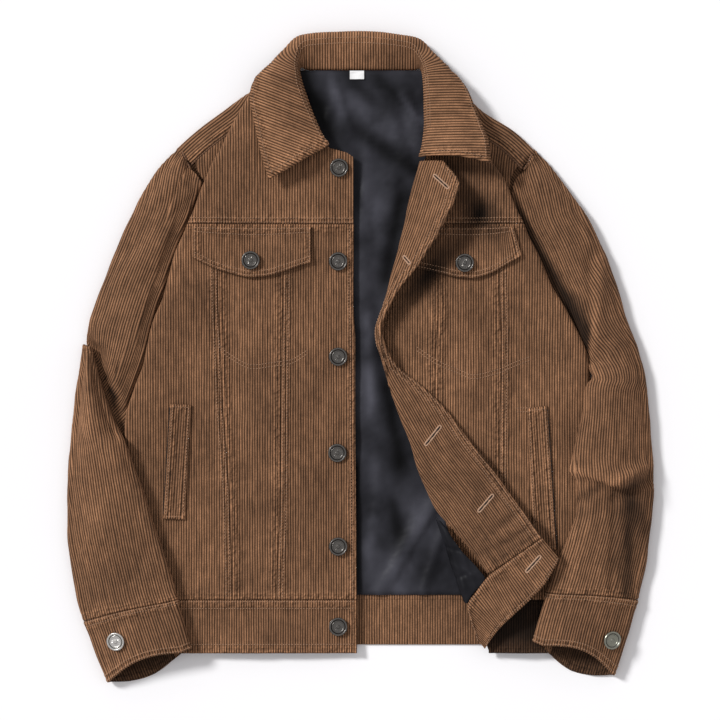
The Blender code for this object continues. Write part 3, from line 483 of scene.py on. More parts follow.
SLEEVE_FOLDS = {
    "right": table(
        FOLD,
        (-215, 170, -262, 128, 12, -3),
        (-232, 96, -280, 70, 14, -2.5),
        (-318, -60, -262, -118, 10, 3),
        (-322, -110, -250, -160, 12, -2.5),
        (-300, -210, -240, -232, 11, -2),
    ),
    "left": table(
        FOLD,
        (239, -115, 294, -129, 8, 4.5),
        (298, -130, 328, -112, 8, 4.5),
        (246, -130, 300, -146, 7, -5),
        (215, 150, 258, 120, 12, -2.5),
        (240, 70, 290, 40, 12, -2.5),
        (262, -190, 250, -240, 12, -2.5),
    ),
}


def sleeve_top_limit(side, x, y):
    """How high a sleeve may stand at (x, y) where it comes out from under the front's fold,
    and where the end of the right upper arm lies under the forearm."""
    sides, _, sign = SIDES[side]
    fold = read(sides, "fold", y)
    past = (x - fold) * sign - 4
    room = (read(sides, "full", y) - fold) * sign - 4
    limit = LOW + 22 * ease(past / room)
    if side == "right":
        beside = x - read(FOREARM_EDGE, "x", y) - 3
        limit = np.minimum(limit, FLAT_END + 20 * ease(beside / 18))
    return limit


def sleeve_section(side, tab, key, wall, count, turns):
    """One row of a sleeve, from the inner end of its lower layer, round its outer fold and
    over its top to the inner end of its upper layer."""
    row = {name: float(read(tab, name, key)) for name in tab}
    outer = np.array([row["out_x"], row["out_y"]])
    inner = np.array([row["in_x"], row["in_y"]])
    wide = np.linalg.norm(outer - inner)
    away = (outer - inner) / wide
    along = np.array([away[1], -away[0]])
    along = along * (-1 if along[1] > 0 else 1)

    def base(a):
        x, y = inner + away * a
        held = row["lift"] * ease((14 - a) / 9)
        return wall / 2 + max(held, row["over"] * float(body_support(x, y)))

    turn_wide = min(6.5, wide * 0.35)
    rim_low = base(0)
    rim = row["rim"] / 2
    squeeze = min(1, wide * 0.35 / rim)
    level = rim_low + row["rim"]
    out_low = base(wide)
    half = row["edge"] / 2
    bend = 0.93 * math.pi
    last = (rim * row["wrap"] + bend * rim * (1 - row["wrap"])) * squeeze
    closed = bend * row["wrap"]
    slit = last - rim * squeeze * math.sin(closed) / max(row["wrap"], 0.05)
    start = max((slit + math.sin(closed) + 1.5) * (row["wrap"] > 0.05), row["back"])
    fine = np.linspace(start, wide - turn_wide, 60)
    level_at = np.array([base(a) for a in fine])
    run = np.concatenate([[0], np.cumsum(np.hypot(np.diff(fine), 5 * np.diff(level_at)))])
    spots = np.interp(np.linspace(0, run[-1], count), run, fine)
    points = [(a, base(a)) for a in spots]
    angles = np.linspace(0, math.pi, turns + 2)[1:]
    points += [(wide - turn_wide * (1 - math.sin(a)), out_low + half * (1 - math.cos(a)))
               for a in angles]
    bulge = max(0, row["crown"] - (out_low + 2 * half + level) / 2)
    t = np.linspace(0, 1, 60)
    a = wide - turn_wide + (last - wide + turn_wide) * t
    x, y = (inner + away * a[:, None]).T
    arch = np.maximum(0, np.sin(math.pi * t))
    high = out_low + 2 * half + (level - out_low - 2 * half) * t + bulge * arch ** 0.8
    high = high + folds_at(SLEEVE_FOLDS[side], x, y) * arch ** 0.5
    limited = row["over"] < 0.5 and tab is not RIGHT_FOREARM
    if limited:
        high = np.minimum(high, sleeve_top_limit(side, x, y) + 40 * row["over"])
    run = np.concatenate([[0], np.cumsum(np.hypot(np.diff(a), 2 * np.diff(high)))])
    for part in np.linspace(0, run[-1], count + 2)[1:]:
        points.append((float(np.interp(part, run, a)), float(np.interp(part, run, high))))
    for t in np.linspace(0, 1, turns)[1:]:
        if row["wrap"] < 0.05:
            points.append((last - bend * rim * t, level))
        else:
            radius = rim / row["wrap"]
            angle = bend * row["wrap"] * t
            a = last - radius * squeeze * math.sin(angle)
            points.append((a, level - radius * (1 - math.cos(angle))))
    placed = []
    for i, (a, z) in enumerate(points):
        share = min(1, max(0, (a - 2.4 * rim) / (wide - 2.4 * rim)))
        bow = -row["bow_top"] if i >= count + turns // 2 + 1 else row["bow_low"]
        x, y = inner + away * a + along * bow * math.sin(math.pi * share)
        if limited and i >= count:
            z = min(z, float(sleeve_top_limit(side, x, y)) + 40 * row["over"])
        placed.append((x, y, z))
    return placed

COLLAR_PARTS = ("neck", "rise", "roll", "leaf", "edge")

COLLAR = table(
    " ".join(["row"] + [f"{part}_{axis}" for part in COLLAR_PARTS for axis in "xyz"]),
    (0, -35, 243.5, 12.8, -36, 243, 16, -40, 240, 20.5, -70, 222, 26, -102, 204, 21.5),
    (1, -42, 253, 12.8, -44, 253.5, 16.5, -48, 254, 21, -79, 240, 26.5, -110, 228, 22),
    (2, -50, 270, 12.8, -52.5, 270.5, 16.5, -57, 271, 21.5, -88, 268, 27, -118, 265, 22),
    (3, -59, 293, 13.5, -62, 293, 17.5, -67, 293, 22.5, -97, 295, 27, -124, 297, 21.5),
    (4, -66, 314, 13.5, -69, 315, 17.5, -74, 316, 23, -99, 317, 26, -119, 316, 19),
    (5, -68.5, 327, 11, -71, 330, 16, -75, 334, 22, -91, 337, 20, -101, 334, 12),
    (6, -66, 331, 7, -68, 341, 14, -72, 350, 20.5, -83, 351, 14, -90, 346, 6),
    (7, -58, 328.6, 5, -60, 347, 14, -62, 361, 19.5, -67, 366, 9, -70, 352, 1.2),
    (8, 0, 328.4, 5, 0, 349, 15, 0, 365, 19, 0, 369, 8, 0, 340, 1.2),
    (9, 58, 328.6, 5, 57, 345, 14, 57, 358, 19.5, 63, 363, 9, 66, 352, 1.2),
    (10, 66, 330, 7, 66, 338, 14, 68, 346, 20.5, 79, 348, 15, 86, 341, 6),
    (11, 69, 326, 11, 71, 328, 16.5, 75, 331, 23, 90, 334, 22, 101, 327, 13),
    (12, 71, 309, 14, 73, 309, 19, 78, 310, 25, 100, 311, 28, 119, 305, 22),
    (13, 72, 290, 14.5, 74, 290, 20, 80, 290, 27, 106, 288, 31, 128, 284, 26),
    (14, 72, 268, 15, 74.5, 268, 21, 80, 268, 29, 110, 266, 34, 136, 263, 30),
    (15, 70, 246, 15.5, 72.5, 246, 22, 78, 246, 31, 111, 245, 37, 143, 242, 34),
    (16, 66, 230, 16, 68.5, 230, 22.5, 75, 230, 32, 108, 228.5, 38, 145, 221, 36),
)


# ---------------------------------------------------------------- weaving the cloth

PITCH = 2.85
RIB = 0.5
COARSE = 5.0
ROW_STEP = 4.9
UNEVEN = table(
    "row x_wave y_wave turn high",
    (0, 61, 190, 0.3, 0.35),
    (1, -140, 83, 1.9, 0.35),
    (2, 37, -120, 4.1, 0.18),
    (3, 96, 41, 2.6, 0.2),
)


def unevenness(x, y):
    """Slow, shallow waves all over the cloth, as it never lies quite flat."""
    total = 0 * x
    for _, x_wave, y_wave, turn, high in zip(*UNEVEN.values()):
        total = total + high * np.sin(2 * math.pi * (x / x_wave + y / y_wave) + turn)
    return total

NEAR_EDGE = np.array((0.7, 1.4, 2.1, 2.9, 5.6, 6.5, 7.4))


def stations(start, end, step=ROW_STEP):
    """Places along a piece, closer near each end, where its edge and stitches are."""
    long = abs(end - start)
    inner = np.linspace(0, long, max(3, int(long / step) + 1))
    if long > 30:
        inner = inner[(inner < 0.1) | (inner > 8.5) & (inner < long - 8.5) | (inner > long - 0.1)]
        inner = np.concatenate([inner, NEAR_EDGE, long - NEAR_EDGE])
    return start + np.sort(inner) * math.copysign(1, end - start)


def lengths(line):
    """The distance along a line of points to each of them."""
    return np.concatenate([[0], np.cumsum(np.linalg.norm(np.diff(line, axis=0), axis=1))])


def columns(low, high, fine, step):
    """Columns at the wales' spacing where the cloth shows, and wider apart elsewhere."""
    first = math.ceil(max(low, fine[0]) / step)
    last = math.floor(min(high, fine[1]) / step)
    close = np.arange(first, last + 1) * step
    before = np.arange(close[0] - COARSE, low, -COARSE)[::-1]
    after = np.arange(close[-1] + COARSE, high, COARSE)
    return np.concatenate([[low - step], before, close, after, [high + step]])


def face_normals(points, faces):
    """The normal at each point, from the faces round it, weighted by their area."""
    total = np.zeros_like(points)
    corner = points[faces]
    cross = np.cross(corner[:, 2] - corner[:, 0], corner[:, 3] - corner[:, 1])
    for k in range(4):
        np.add.at(total, faces[:, k], cross)
    size = np.linalg.norm(total, axis=1, keepdims=True)
    return total / np.where(size > 0, size, 1)


def tidy_faces(quads):
    """Faces as lists of points, without repeats and without those that close to nothing."""
    faces = []
    for quad in quads.tolist():
        face = [p for i, p in enumerate(quad) if p != quad[i - 1]]
        if len(face) > 2 and len(set(face)) == len(face):
            faces.append(face)
    return faces


class Weave:
    """A woven piece: its outer points and normals on a grid of rows by columns."""

    def __init__(self, us, vs, outer, normal, low, high):
        self.us, self.vs = us, vs
        self.outer, self.normal = outer, normal
        self.low, self.high = low, high
        self.rising = vs[-1] > vs[0]

    def at(self, u, v):
        """Points and normals at cloth coordinates, given as arrays."""
        u, v = np.broadcast_arrays(np.asarray(u, float), np.asarray(v, float))
        order = self.vs if self.rising else self.vs[::-1]
        i = np.clip(np.searchsorted(order, v, "right") - 1, 0, len(order) - 2)
        s = np.clip((v - order[i]) / (order[i + 1] - order[i]), 0, 1)[..., None]
        here, there = (i, i + 1) if self.rising else (len(order) - 1 - i, len(order) - 2 - i)
        j = np.clip(np.searchsorted(self.us, u, "right") - 1, 0, len(self.us) - 2)
        t = np.clip((u - self.us[j]) / (self.us[j + 1] - self.us[j]), 0, 1)[..., None]
        found = []
        for grid in (self.outer, self.normal):
            near = grid[here, j] * (1 - t) + grid[here, j + 1] * t
            far = grid[there, j] * (1 - t) + grid[there, j + 1] * t
            found.append(near * (1 - s) + far * s)
        return found

    def side(self, which, v):
        """The cloth coordinate of an edge at v."""
        ends = self.low if which == "low" else self.high
        order = np.argsort(self.vs)
        return np.interp(v, self.vs[order], ends[order])


MADE = {}
FAR = 9e9
EVERYWHERE = (-FAR, FAR)


def seam_relief(seams, away, along, across, pucker, seed, lift):
    """The cloth's height, shade and pull beside its seams.

    It puckers and sinks at the edge and under the second row of stitches, with painted shade
    in those dents, and the roll beside each is paler: painted highlight with some rubbed wear."""
    shade = np.ones(lift.shape)
    pull = np.zeros(lift.shape)
    for side in seams:
        gone = away[side]
        run = along if side in "lr" else across
        wave = np.sin(2 * math.pi * run / 16 + 2.1 * np.sin(2 * math.pi * run / 53 + seed))
        wave = wave * (0.6 + 0.4 * np.sin(2 * math.pi * run / 37 + seed))
        lift = lift + pucker * wave * ridge((gone - 4) / 5)
        lift = lift - 0.25 * ridge(gone / 0.8) + 0.4 * ridge((gone - 2.0) / 1.3)
        # painted shade in the edge's dent, and a painted highlight with some wear on the roll
        # beside it
        shade = shade * (1 - 0.15 * ridge(gone / 0.7)) * (1 + 0.42 * ridge((gone - 2.0) / 1.2))
        pull = np.maximum(pull, ridge((gone - 4) / 6))
        lift = lift - 0.3 * ridge((gone - 4.9) / 0.9) + 0.2 * ridge((gone - 6.6) / 1)
        # painted shade in the dent under the second row of stitches, and a painted highlight past
        # it
        shade = shade * (1 - 0.22 * ridge((gone - 4.6) / 0.9)) * (1 + 0.3 * ridge((gone - 6.6) / 1))
    return lift, shade, pull


def weave(name, vs, section, nodes=None, pitch=PITCH, wall=CORDUROY, rib=RIB, fine=EVERYWHERE,
          part=6, seams="lrtb", pucker=0.35, uneven=1.0, shape=None, form=None, move=None,
          tone=None, coat="corduroy", out=None, flat=None, rests=(), held="laid", inside_painted_share=1.0):
    """Weaves one piece into MADE. section(v) gives (cloth coordinates, points) across it at v.

    The outside has part columns to a wale. move and form shift the middle of the cloth in x
    and z, shape (a table of folds, or a function) raises both its sides, and tone scales its
    colour with painted shade and painted highlights. inside_painted_share is the inside's
    share of the tone; below 1 it paints shade on the inside."""
    lines = [section(v) for v in vs]
    low = np.array([u[0] for u, _ in lines])
    high = np.array([u[-1] for u, _ in lines])
    step = pitch / part
    us = columns(low.min(), high.max(), fine, step)
    rows, count = len(vs), len(us)
    inside = (us > low[:, None] + step * 0.3) & (us < high[:, None] - step * 0.3)
    first = inside.argmax(1)
    last = count - 1 - inside[:, ::-1].argmax(1)
    middle = np.where(np.arange(count) < (first + last)[:, None] / 2, low[:, None], high[:, None])
    here = np.where(inside, us, middle)
    grid = np.stack([
        np.stack([np.interp(here[i], u, line[:, k]) for k in range(3)], 1)
        for i, (u, line) in enumerate(lines)
    ])
    x, y, z = np.moveaxis(grid, -1, 0)
    if move:
        grid[..., 0] = move(x, y, z)
    if form:
        grid[..., 2] = form(x, y, z)
    # a column that is past the end of a row falls together with the row's last point
    column = np.clip(np.arange(count), (first - 1)[:, None], (last + 1)[:, None])
    ids = np.arange(rows)[:, None] * count + column
    sparse = np.clip(np.arange(count) // part * part, (first - 1)[:, None], (last + 1)[:, None])
    under = np.arange(rows)[:, None] * count + sparse
    quads = np.stack([ids[:-1, :-1], ids[:-1, 1:], ids[1:, 1:], ids[1:, :-1]], -1).reshape(-1, 4)
    flat_points = grid.reshape(-1, 3)
    normal = face_normals(flat_points, quads)
    used = np.unique(quads)
    peak = used[flat_points[used, 2].argmax()]
    up = normal[peak, 2] if out is None else out * normal[used, 2].sum()
    turned = up < 0
    if turned:
        normal = -normal
    normal = normal[ids.reshape(-1)].reshape(grid.shape)

    along = lengths(grid[:, count // 2])[:, None] + 0 * here
    away = {"l": here - low[:, None], "r": high[:, None] - here,
            "t": along, "b": along[-1] - along}
    seed = 2 * math.pi * ((sum(map(ord, name)) % 97) / 97)
    lift = uneven * unevenness(x, y)
    lift, shade, pull = seam_relief(seams, away, along, here, pucker, seed, lift)
    if shape:
        added = shape(x, y) if callable(shape) else folds_at(shape, x, y)
        lift = lift + added * ease(normal[..., 2] * 3 + 0.6)
    if tone:
        shade = shade * tone(x, y, z)
    wales = (0.5 + 0.5 * np.cos(2 * math.pi * here / pitch)) ** 0.8
    shown = ease((here - fine[0]) / 3) * ease((fine[1] - here) / 3)
    outer = grid + normal * (wall / 2 + lift + rib * (wales - 0.5) * shown)[..., None]
    inner = grid + normal * (lift - wall / 2)[..., None]
    for wall_side in (outer, inner):
        wall_side[..., 2] = np.maximum(wall_side[..., 2], 0)

    size = rows * count
    points = np.concatenate([outer.reshape(-1, 3), inner.reshape(-1, 3)])
    lower = np.stack([under[:-1, :-1], under[1:, :-1], under[1:, 1:], under[:-1, 1:]], -1)
    rim = []
    for edge, back in (
        (ids[0], under[0]), (ids[-1][::-1], under[-1][::-1]),
        (ids[::-1, 0], under[::-1, 0]), (ids[:, -1], under[:, -1]),
    ):
        rim.append(np.stack([edge[1:], edge[:-1], back[:-1] + size, back[1:] + size], 1))
    quads = np.concatenate([quads, lower.reshape(-1, 4) + size] + rim)
    if turned:
        quads = quads[:, ::-1]
    mesh = bpy.data.meshes.new(name + "_weave")
    mesh.from_pydata(points * MM, [], tidy_faces(quads))
    for key, outside, share in (("tone", shade, inside_painted_share), ("pull", pull, 1)):
        value = np.concatenate([outside.reshape(-1), outside.reshape(-1) * share])
        mesh.attributes.new(key, "FLOAT", "POINT").data.foreach_set("value", value)
    place = np.stack([np.tile((here / pitch).reshape(-1), 2),
                      np.tile((along / 30).reshape(-1), 2)], 1)
    corner = np.empty(len(mesh.loops), np.int32)
    mesh.loops.foreach_get("vertex_index", corner)
    mesh.uv_layers.new(name="Cloth").data.foreach_set("uv", place[corner].ravel())
    keep_used(mesh)
    mesh.shade_smooth()
    bare = add_piece(name + "_weave", mesh, coat, nodes or (name,))
    MADE[name] = Weave(us, vs, outer, normal, low, high)


def keep_used(mesh):
    """Takes away the points that no face uses."""
    shape = bmesh.new()
    shape.from_mesh(mesh)
    bmesh.ops.delete(shape, geom=[v for v in shape.verts if not v.link_faces], context="VERTS")
    shape.to_mesh(mesh)
    shape.free()


def add_piece(name, mesh, coat, nodes):
    """Puts a mesh into the scene in the frame's place, over the solids that it replaces."""
    mesh.materials.append(COATS[coat])
    piece = bpy.data.objects.new(name, mesh)
    bpy.context.scene.collection.objects.link(piece)
    piece.location = -MIDDLE * MM
    finish_piece(piece, nodes)
    return piece


def finish_piece(piece, nodes):
    """Every piece is in the one rigid body, and stands in for its solids if it has any."""
    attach(piece, "root")
    if nodes:
        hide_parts(*nodes)


# ---------------------------------------------------------------- materials

WANDER = 0.55


def new_coat(name, values):
    """A material, its nodes and its shader, with constant values on the shader's sockets."""
    made = bpy.data.materials.new(name)
    made.use_nodes = True
    shader = made.node_tree.nodes["Principled BSDF"]
    for socket, value in values.items():
        shader.inputs[socket].default_value = value
    return made, made.node_tree, shader


def add(tree, kind, inputs, **settings):
    """A shader node. Each input is a value, or the output that it is linked to."""
    made = tree.nodes.new("ShaderNode" + kind)
    for key, value in settings.items():
        setattr(made, key, value)
    for key, value in inputs.items():
        if isinstance(value, bpy.types.NodeSocket):
            tree.links.new(value, made.inputs[key])
        else:
            made.inputs[key].default_value = value
    return made


def noise(tree, place, scale, detail=2.0):
    """Soft cloudy values from 0 to 1."""
    inputs = {"Vector": place, "Scale": scale, "Detail": detail}
    return add(tree, "TexNoise", inputs).outputs["Fac"]


def maths(tree, operation, *terms):
    """The result of one Math node."""
    return add(tree, "Math", dict(enumerate(terms)), operation=operation).outputs[0]


def spread(tree, source, low, high, to_low=0.0, to_high=1.0):
    """The range from low to high of a value, spread from to_low to to_high."""
    inputs = {"Value": source, "From Min": low, "From Max": high,
              "To Min": to_low, "To Max": to_high}
    return add(tree, "MapRange", inputs).outputs[0]


def scaled(tree, colour, by):
    """A colour made lighter or darker by a value."""
    return add(tree, "VectorMath", {0: colour, "Scale": by}, operation="SCALE").outputs[0]


def bump(tree, height, strength, distance, **over):
    """A normal that is roughened by a value, over another where one is given as Normal."""
    inputs = {"Height": height, "Strength": strength, "Distance": distance, **over}
    return add(tree, "Bump", inputs).outputs[0]


def stored(tree, name):
    """One of the values that weave() keeps at each point."""
    return add(tree, "Attribute", {}, attribute_name=name).outputs["Fac"]


def cloth_coat(name, wale, groove):
    """Corduroy: pale ribs and dark grooves (partly painted highlight and painted shade) by the
    cloth's own coordinates, and worn patches.
    """
    made, tree, shader = new_coat(name, {
        "Roughness": 0.92, "Sheen Weight": 0.35, "Sheen Roughness": 0.45,
        "Sheen Tint": (*wale, 1), "Specular IOR Level": 0.18,
    })
    cloth = add(tree, "UVMap", {}, uv_map="Cloth").outputs[0]
    body = add(tree, "TexCoord", {}).outputs["Object"]
    # a wale to each unit across, and they wander a little from straight
    across = add(tree, "SeparateXYZ", {0: cloth}).outputs[0]
    aside = maths(tree, "MULTIPLY_ADD", noise(tree, cloth, 0.8), WANDER, across)
    turn = maths(tree, "MULTIPLY", maths(tree, "SUBTRACT", aside, WANDER / 2), 2 * math.pi)
    band = spread(tree, maths(tree, "COSINE", turn), -0.9, 1.0)
    # the groove colour is partly painted shade in the grooves, and the rib colour partly a painted
    # highlight on their tops
    mixed = add(tree, "Mix", {0: band, 6: (*groove, 1), 7: (*wale, 1)}, data_type="RGBA")
    # each wale's own brightness, worn patches, fine pile and rubbed places
    pile = noise(tree, body, 900.0)
    total = stored(tree, "tone")
    for source, swing in (
        (noise(tree, cloth, 1.0), 0.6), (noise(tree, body, 14.0, 4.0), 0.528),
        (pile, 0.6), (noise(tree, body, 110.0, 3.0), 0.35),
    ):
        level = spread(tree, source, 0.25, 0.75, 1 - swing / 2, 1 + swing / 2)
        total = maths(tree, "MULTIPLY", level, total)
    # the cloth puckers along its seams: a bump, and painted light and shade of the puckers in its
    # colour
    pull = stored(tree, "pull")
    pulled = maths(tree, "MULTIPLY", noise(tree, body, 210.0, 1.0), pull)
    beside = maths(tree, "MULTIPLY_ADD", pull, -0.55, 1.0)
    gathered = maths(tree, "MULTIPLY_ADD", pulled, 1.1, beside)
    final = maths(tree, "MULTIPLY", gathered, total)
    tree.links.new(scaled(tree, mixed.outputs[2], final), shader.inputs["Base Color"])
    fine = bump(tree, pile, 0.35, 0.0004)
    tree.links.new(bump(tree, pulled, 0.9, 0.005, Normal=fine), shader.inputs["Normal"])
    return made


def plain_coat(name, colour, rough, metal=0.0, grain=0.0, scale=300.0):
    """One colour, with a little grain in it where it has any."""
    values = {"Base Color": (*colour, 1), "Roughness": rough, "Metallic": metal}
    made, tree, shader = new_coat(name, values)
    if grain:
        body = add(tree, "TexCoord", {}).outputs["Object"]
        rise = bump(tree, noise(tree, body, scale), grain, 0.0003)
        tree.links.new(rise, shader.inputs["Normal"])
    return made


def satin_coat(name, colour, rough):
    """Dark satin with soft cloudy patches of painted light and shade, and slight crumples."""
    made, tree, shader = new_coat(name, {"Roughness": rough, "Specular IOR Level": 0.09})
    body = add(tree, "TexCoord", {}).outputs["Object"]
    # painted light and shade: cloudy patches brighten and darken the satin's colour
    cloud = spread(tree, noise(tree, body, 16.0, 3.0), 0.35, 0.65, 0.45, 1.7)
    shade = maths(tree, "MULTIPLY", cloud, stored(tree, "tone"))
    tree.links.new(scaled(tree, colour, shade), shader.inputs["Base Color"])
    tree.links.new(bump(tree, noise(tree, body, 42.0), 0.5, 0.004), shader.inputs["Normal"])
    return made

COATS = {
    "corduroy": cloth_coat("corduroy", (0.260, 0.1315, 0.0685), (0.044, 0.021, 0.010)),
    "satin": satin_coat("satin", (0.022, 0.022, 0.027), 0.46),
}
for coat_name, *coat_values in (
    ("thread", (0.30, 0.175, 0.105), 0.7),
    ("hole_thread", (0.46, 0.29, 0.19), 0.7),
    ("seam", (0.15, 0.075, 0.04), 0.9, 0.0, 0.8, 500.0),
    # hole: near-black, the painted shade in the pocket mouths and the buttonhole slits
    ("hole", (0.012, 0.007, 0.005), 0.9),
    ("label", (0.78, 0.78, 0.78), 0.7, 0.0, 0.3, 1500.0),
    ("dark_metal", (0.13, 0.122, 0.112), 0.27, 0.9, 0.5, 700.0),
    ("dark_rim", (0.035, 0.03, 0.028), 0.4, 0.8),
    ("silver", (0.62, 0.60, 0.57), 0.28, 0.95, 0.3, 700.0),
    ("old_silver", (0.28, 0.28, 0.23), 0.3, 0.95, 0.6, 500.0),
    ("silver_rim", (0.16, 0.155, 0.14), 0.4, 0.9),
):
    COATS[coat_name] = plain_coat(coat_name, *coat_values)


# ---------------------------------------------------------------- the fronts

PANEL_LONG = 0.422


def front_line(side, y, start, end):
    """Across a front at y between two x, as cloth coordinates and points."""
    x = np.linspace(start, end, max(4, int(abs(end - start) / 1.5)))
    return x, np.stack([x, 0 * x + y, front_height(side, x, 0 * x + y)], 1)


def side_line(side, y, end, under=None, lip=LIP):
    """Across a side panel from its hidden end, round the fold, to the seam."""
    sign = SIDES[side][2]
    edge = np.array(turned_edge(side, y, lip))
    x, top = front_line(side, y, edge[-1][0], end)
    edge = edge[:-1] if under is None else np.concatenate([under(edge), edge[2:-1]])
    back = lengths(np.concatenate([top[:1], edge[::-1]]))[1:]
    u = np.concatenate([(x[0] + sign * back)[::-1], x])
    line = np.concatenate([edge, top])
    return (u, line) if sign < 0 else (u[::-1], line[::-1])


def yoke_line(side, y, end):
    """Across a front yoke: its lower layer, the pleat under the fold, the fold and the top."""
    sign = SIDES[side][2]

    def under(edge):
        fold, low = edge[2][0], edge[0][2]
        seam = lower_end(side, y) - sign * 1.8
        radius = (low - LOW) / 2
        back = -sign * max(-sign * (fold - sign * 6), -sign * (seam - sign * 4))
        pleat = [
            (back - sign * radius * math.sin(a), y, (low + LOW) / 2 - radius * math.cos(a))
            for a in np.linspace(0, math.pi, 9)
        ]
        lower = span((seam, y, LOW), pleat[0], 4)[:-1]
        upper = span(pleat[-1], edge[2], 3)[1:-1]
        return np.concatenate([lower, pleat, upper])

    return side_line(side, y, end, under, 5)


def seen(side, room=14):
    """The stretch of cloth coordinates that shows on the front of one side."""
    fold = SIDES[side][0]["fold"]
    return (fold.min() - room, FAR) if side == "right" else (-FAR, fold.max() + room)

# painted shade on the left front under the collar and beside the lapel
LEFT_PAINTED_SHADES = table(
    FOLD,
    (100, 223, 145, 215, 11, -0.42),
    (115, 196, 142, 159, 16, -0.5),
    (128, 160, 78, 100, 16, -0.5),
    (76, 98, 37, 54, 14, -0.45),
)
FRONT_CREASES = table(
    FOLD,
    (-144, 88, -110, 80, 2.6, -0.5),
    (-148, 78, -117, 69, 2.6, -0.4),
    (-140, 83, -112, 75, 2.4, 0.3),
    (-155, 58, -148, 19, 4, -0.8),
    (-160, 2, -155, -54, 4, -0.7),
    (-176, 60, -172, 10, 5, 0.4),
    (-120, -60, -112, -150, 9, 0.5),
    (-84, 20, -90, -90, 8, -0.4),
    (112, 76, 146, 70, 2.6, -0.5),
    (118, 66, 150, 62, 2.6, -0.4),
    (196, 62, 204, 10, 6, 0.6),
    (150, 30, 156, -40, 6, -0.5),
    (196, -118, 208, -121, 2.2, 0.7),
    (195, -130, 209, -134, 2.2, -0.8),
    (196, -141, 210, -146, 2.2, 0.7),
    (196, -152, 211, -156, 2.2, -0.7),
    (190, -60, 212, -58, 2.5, 0.5),
)


def left_painted_shade(x, y, z):
    """Painted shade: the deep hollow under the collar and the lapel is darkened in the cloth's
    colour.
    """
    return 1 + folds_at(LEFT_PAINTED_SHADES, x, y)


def band_painted_shade(x, y, z):
    """Painted shade: the left waistband lies deep under the turned end of the front, and its upper
    side is darkened in its colour.
    """
    shade = 0.07 + 0.13 * ease((-305 - y) / 18) + 0.8 * ease((x - 240) / 20)
    return shade + (1 - shade) * ease((4.5 - z) / 2)


def build_front(side):
    """One front: its yoke, its three panels and its waistband."""
    gap = SEAM_GAP / 2
    seams = SIDES[side][1]
    right = side == "right"
    s = 1 if right else -1
    under = 0 if right else 5

    def edge(y):
        return read(seams, "edge", y) + under

    def outer(y):
        return read(seams, "outer", y)

    def inner(y):
        line = read(seams, "inner", y)
        return line if right else np.maximum(line, edge(y) + 6)

    looks = {"shape": FRONT_CREASES, "tone": None if right else left_painted_shade}
    outside = "rtb" if right else "ltb"
    weave(
        side + "_yoke", stations(300, YOKE_Y + gap),
        lambda y: yoke_line(side, y, read(NECK, side, y) + under),
        fine=seen(side, 10), pitch=3.0, seams="b",
        flat=(0.19 if right else 0.14, 0.15), rests=["back_yoke"], **looks,
    )
    ys = stations(YOKE_Y - gap, BAND_Y + gap)
    weave(
        side + "_side_panel", ys, lambda y: side_line(side, y, outer(y) - s * gap),
        fine=seen(side), seams=outside, flat=(0.125, PANEL_LONG), rests=["back"], **looks,
    )
    weave(
        side + "_middle_panel", ys,
        lambda y: front_line(side, y, *sorted((outer(y) + s * gap, inner(y) - s * gap))),
        flat=(0.065, PANEL_LONG), rests=["back"], **looks,
    )
    weave(
        side + "_centre_panel", ys,
        lambda y: front_line(side, y, *sorted((inner(y) + s * gap, edge(y)))),
        flat=(0.085 if right else 0.04, PANEL_LONG), rests=["back"], **looks,
    )
    weave(
        side + "_waistband", stations(BAND_Y - gap, HEM_Y, 4),
        lambda y: side_line(side, y, edge(y)),
        fine=seen(side), seams=outside, pitch=2.75, tone=None if right else band_painted_shade,
        flat=(0.235 if right else 0.11, 0.06), rests=["back_waistband"],
    )


def build_flap(side, lean):
    """One chest flap, under the yoke's seam. lean shifts the top of its outer end."""
    tab = FLAPS[side]
    feet = next(iter(tab.values()))

    def flap_line(t):
        u = np.linspace(feet[0], feet[-1], 120)
        y = FLAP_TOP + (read(tab, "foot", u) - FLAP_TOP) * t
        x = u + lean * (1 - t) * ease((u - 150) / 30)
        lift = CORDUROY / 2 + SEAM_GAP + DOUBLE / 2 + 0.4 + 1.4 * t
        return u, np.stack([x, y, front_height(side, x, y) + lift], 1)

    ts = np.array([0, 0.012, 0.05, 0.1, 0.18, 0.26, 0.34, 0.42, 0.5, 0.58, 0.66, 0.74, 0.82,
                   0.88, 0.93, 0.965, 0.99, 1])
    weave(
        side + "_flap", ts, flap_line, wall=DOUBLE, pucker=0.5,
        tone=None if side == "right" else left_painted_shade,
        flat=(0.13, 0.05), rests=[side + "_side_panel", side + "_middle_panel", side + "_yoke"],
    )


def build_welt(side):
    """The slanted welt of one hand pocket."""
    head_out, head_in, foot_in, foot_out = map(np.array, WELTS[side])
    long = np.linalg.norm(foot_out - head_out)

    def welt_line(v):
        t = v / long
        ends = span(head_out + (foot_out - head_out) * t,
                    head_in + (foot_in - head_in) * t, 16)
        x, y = ends.T
        lift = CORDUROY / 2 + SEAM_GAP + CORDUROY / 2 + 0.4
        line = np.stack([x, y, front_height(side, x, y) + lift], 1)
        return lengths(ends) - np.linalg.norm(ends[-1] - ends[0]) / 2, line

    weave(
        side + "_welt", stations(0, long), welt_line, pucker=0.3, shape=FRONT_CREASES,
        flat=(0.025, long * MM), rests=[side + "_side_panel"],
    )


def crown_lines(tab, keys, count):
    """Lines across a turned-back piece, from its fold to its free edge."""
    t = np.linspace(0, 1, count)
    for key in keys:
        fold_x, fold_y, edge_x, edge_y, crest, free = (
            read(tab, name, key) for name in "fold_x fold_y edge_x edge_y crest free".split()
        )
        z = crest + (free - crest) * t + 1.5 * np.sin(math.pi * t)
        yield np.stack([fold_x + (edge_x - fold_x) * t, fold_y + (edge_y - fold_y) * t, z], 1)

FACING_GRAIN = table(
    "y x",
    (-240, 192),
    (-200, 165),
    (-150, 130),
    (-100, 92),
    (-50, 62),
    (0, 35),
    (36, 27),
    (100, 48),
    (160, 70),
    (225, 90),
)


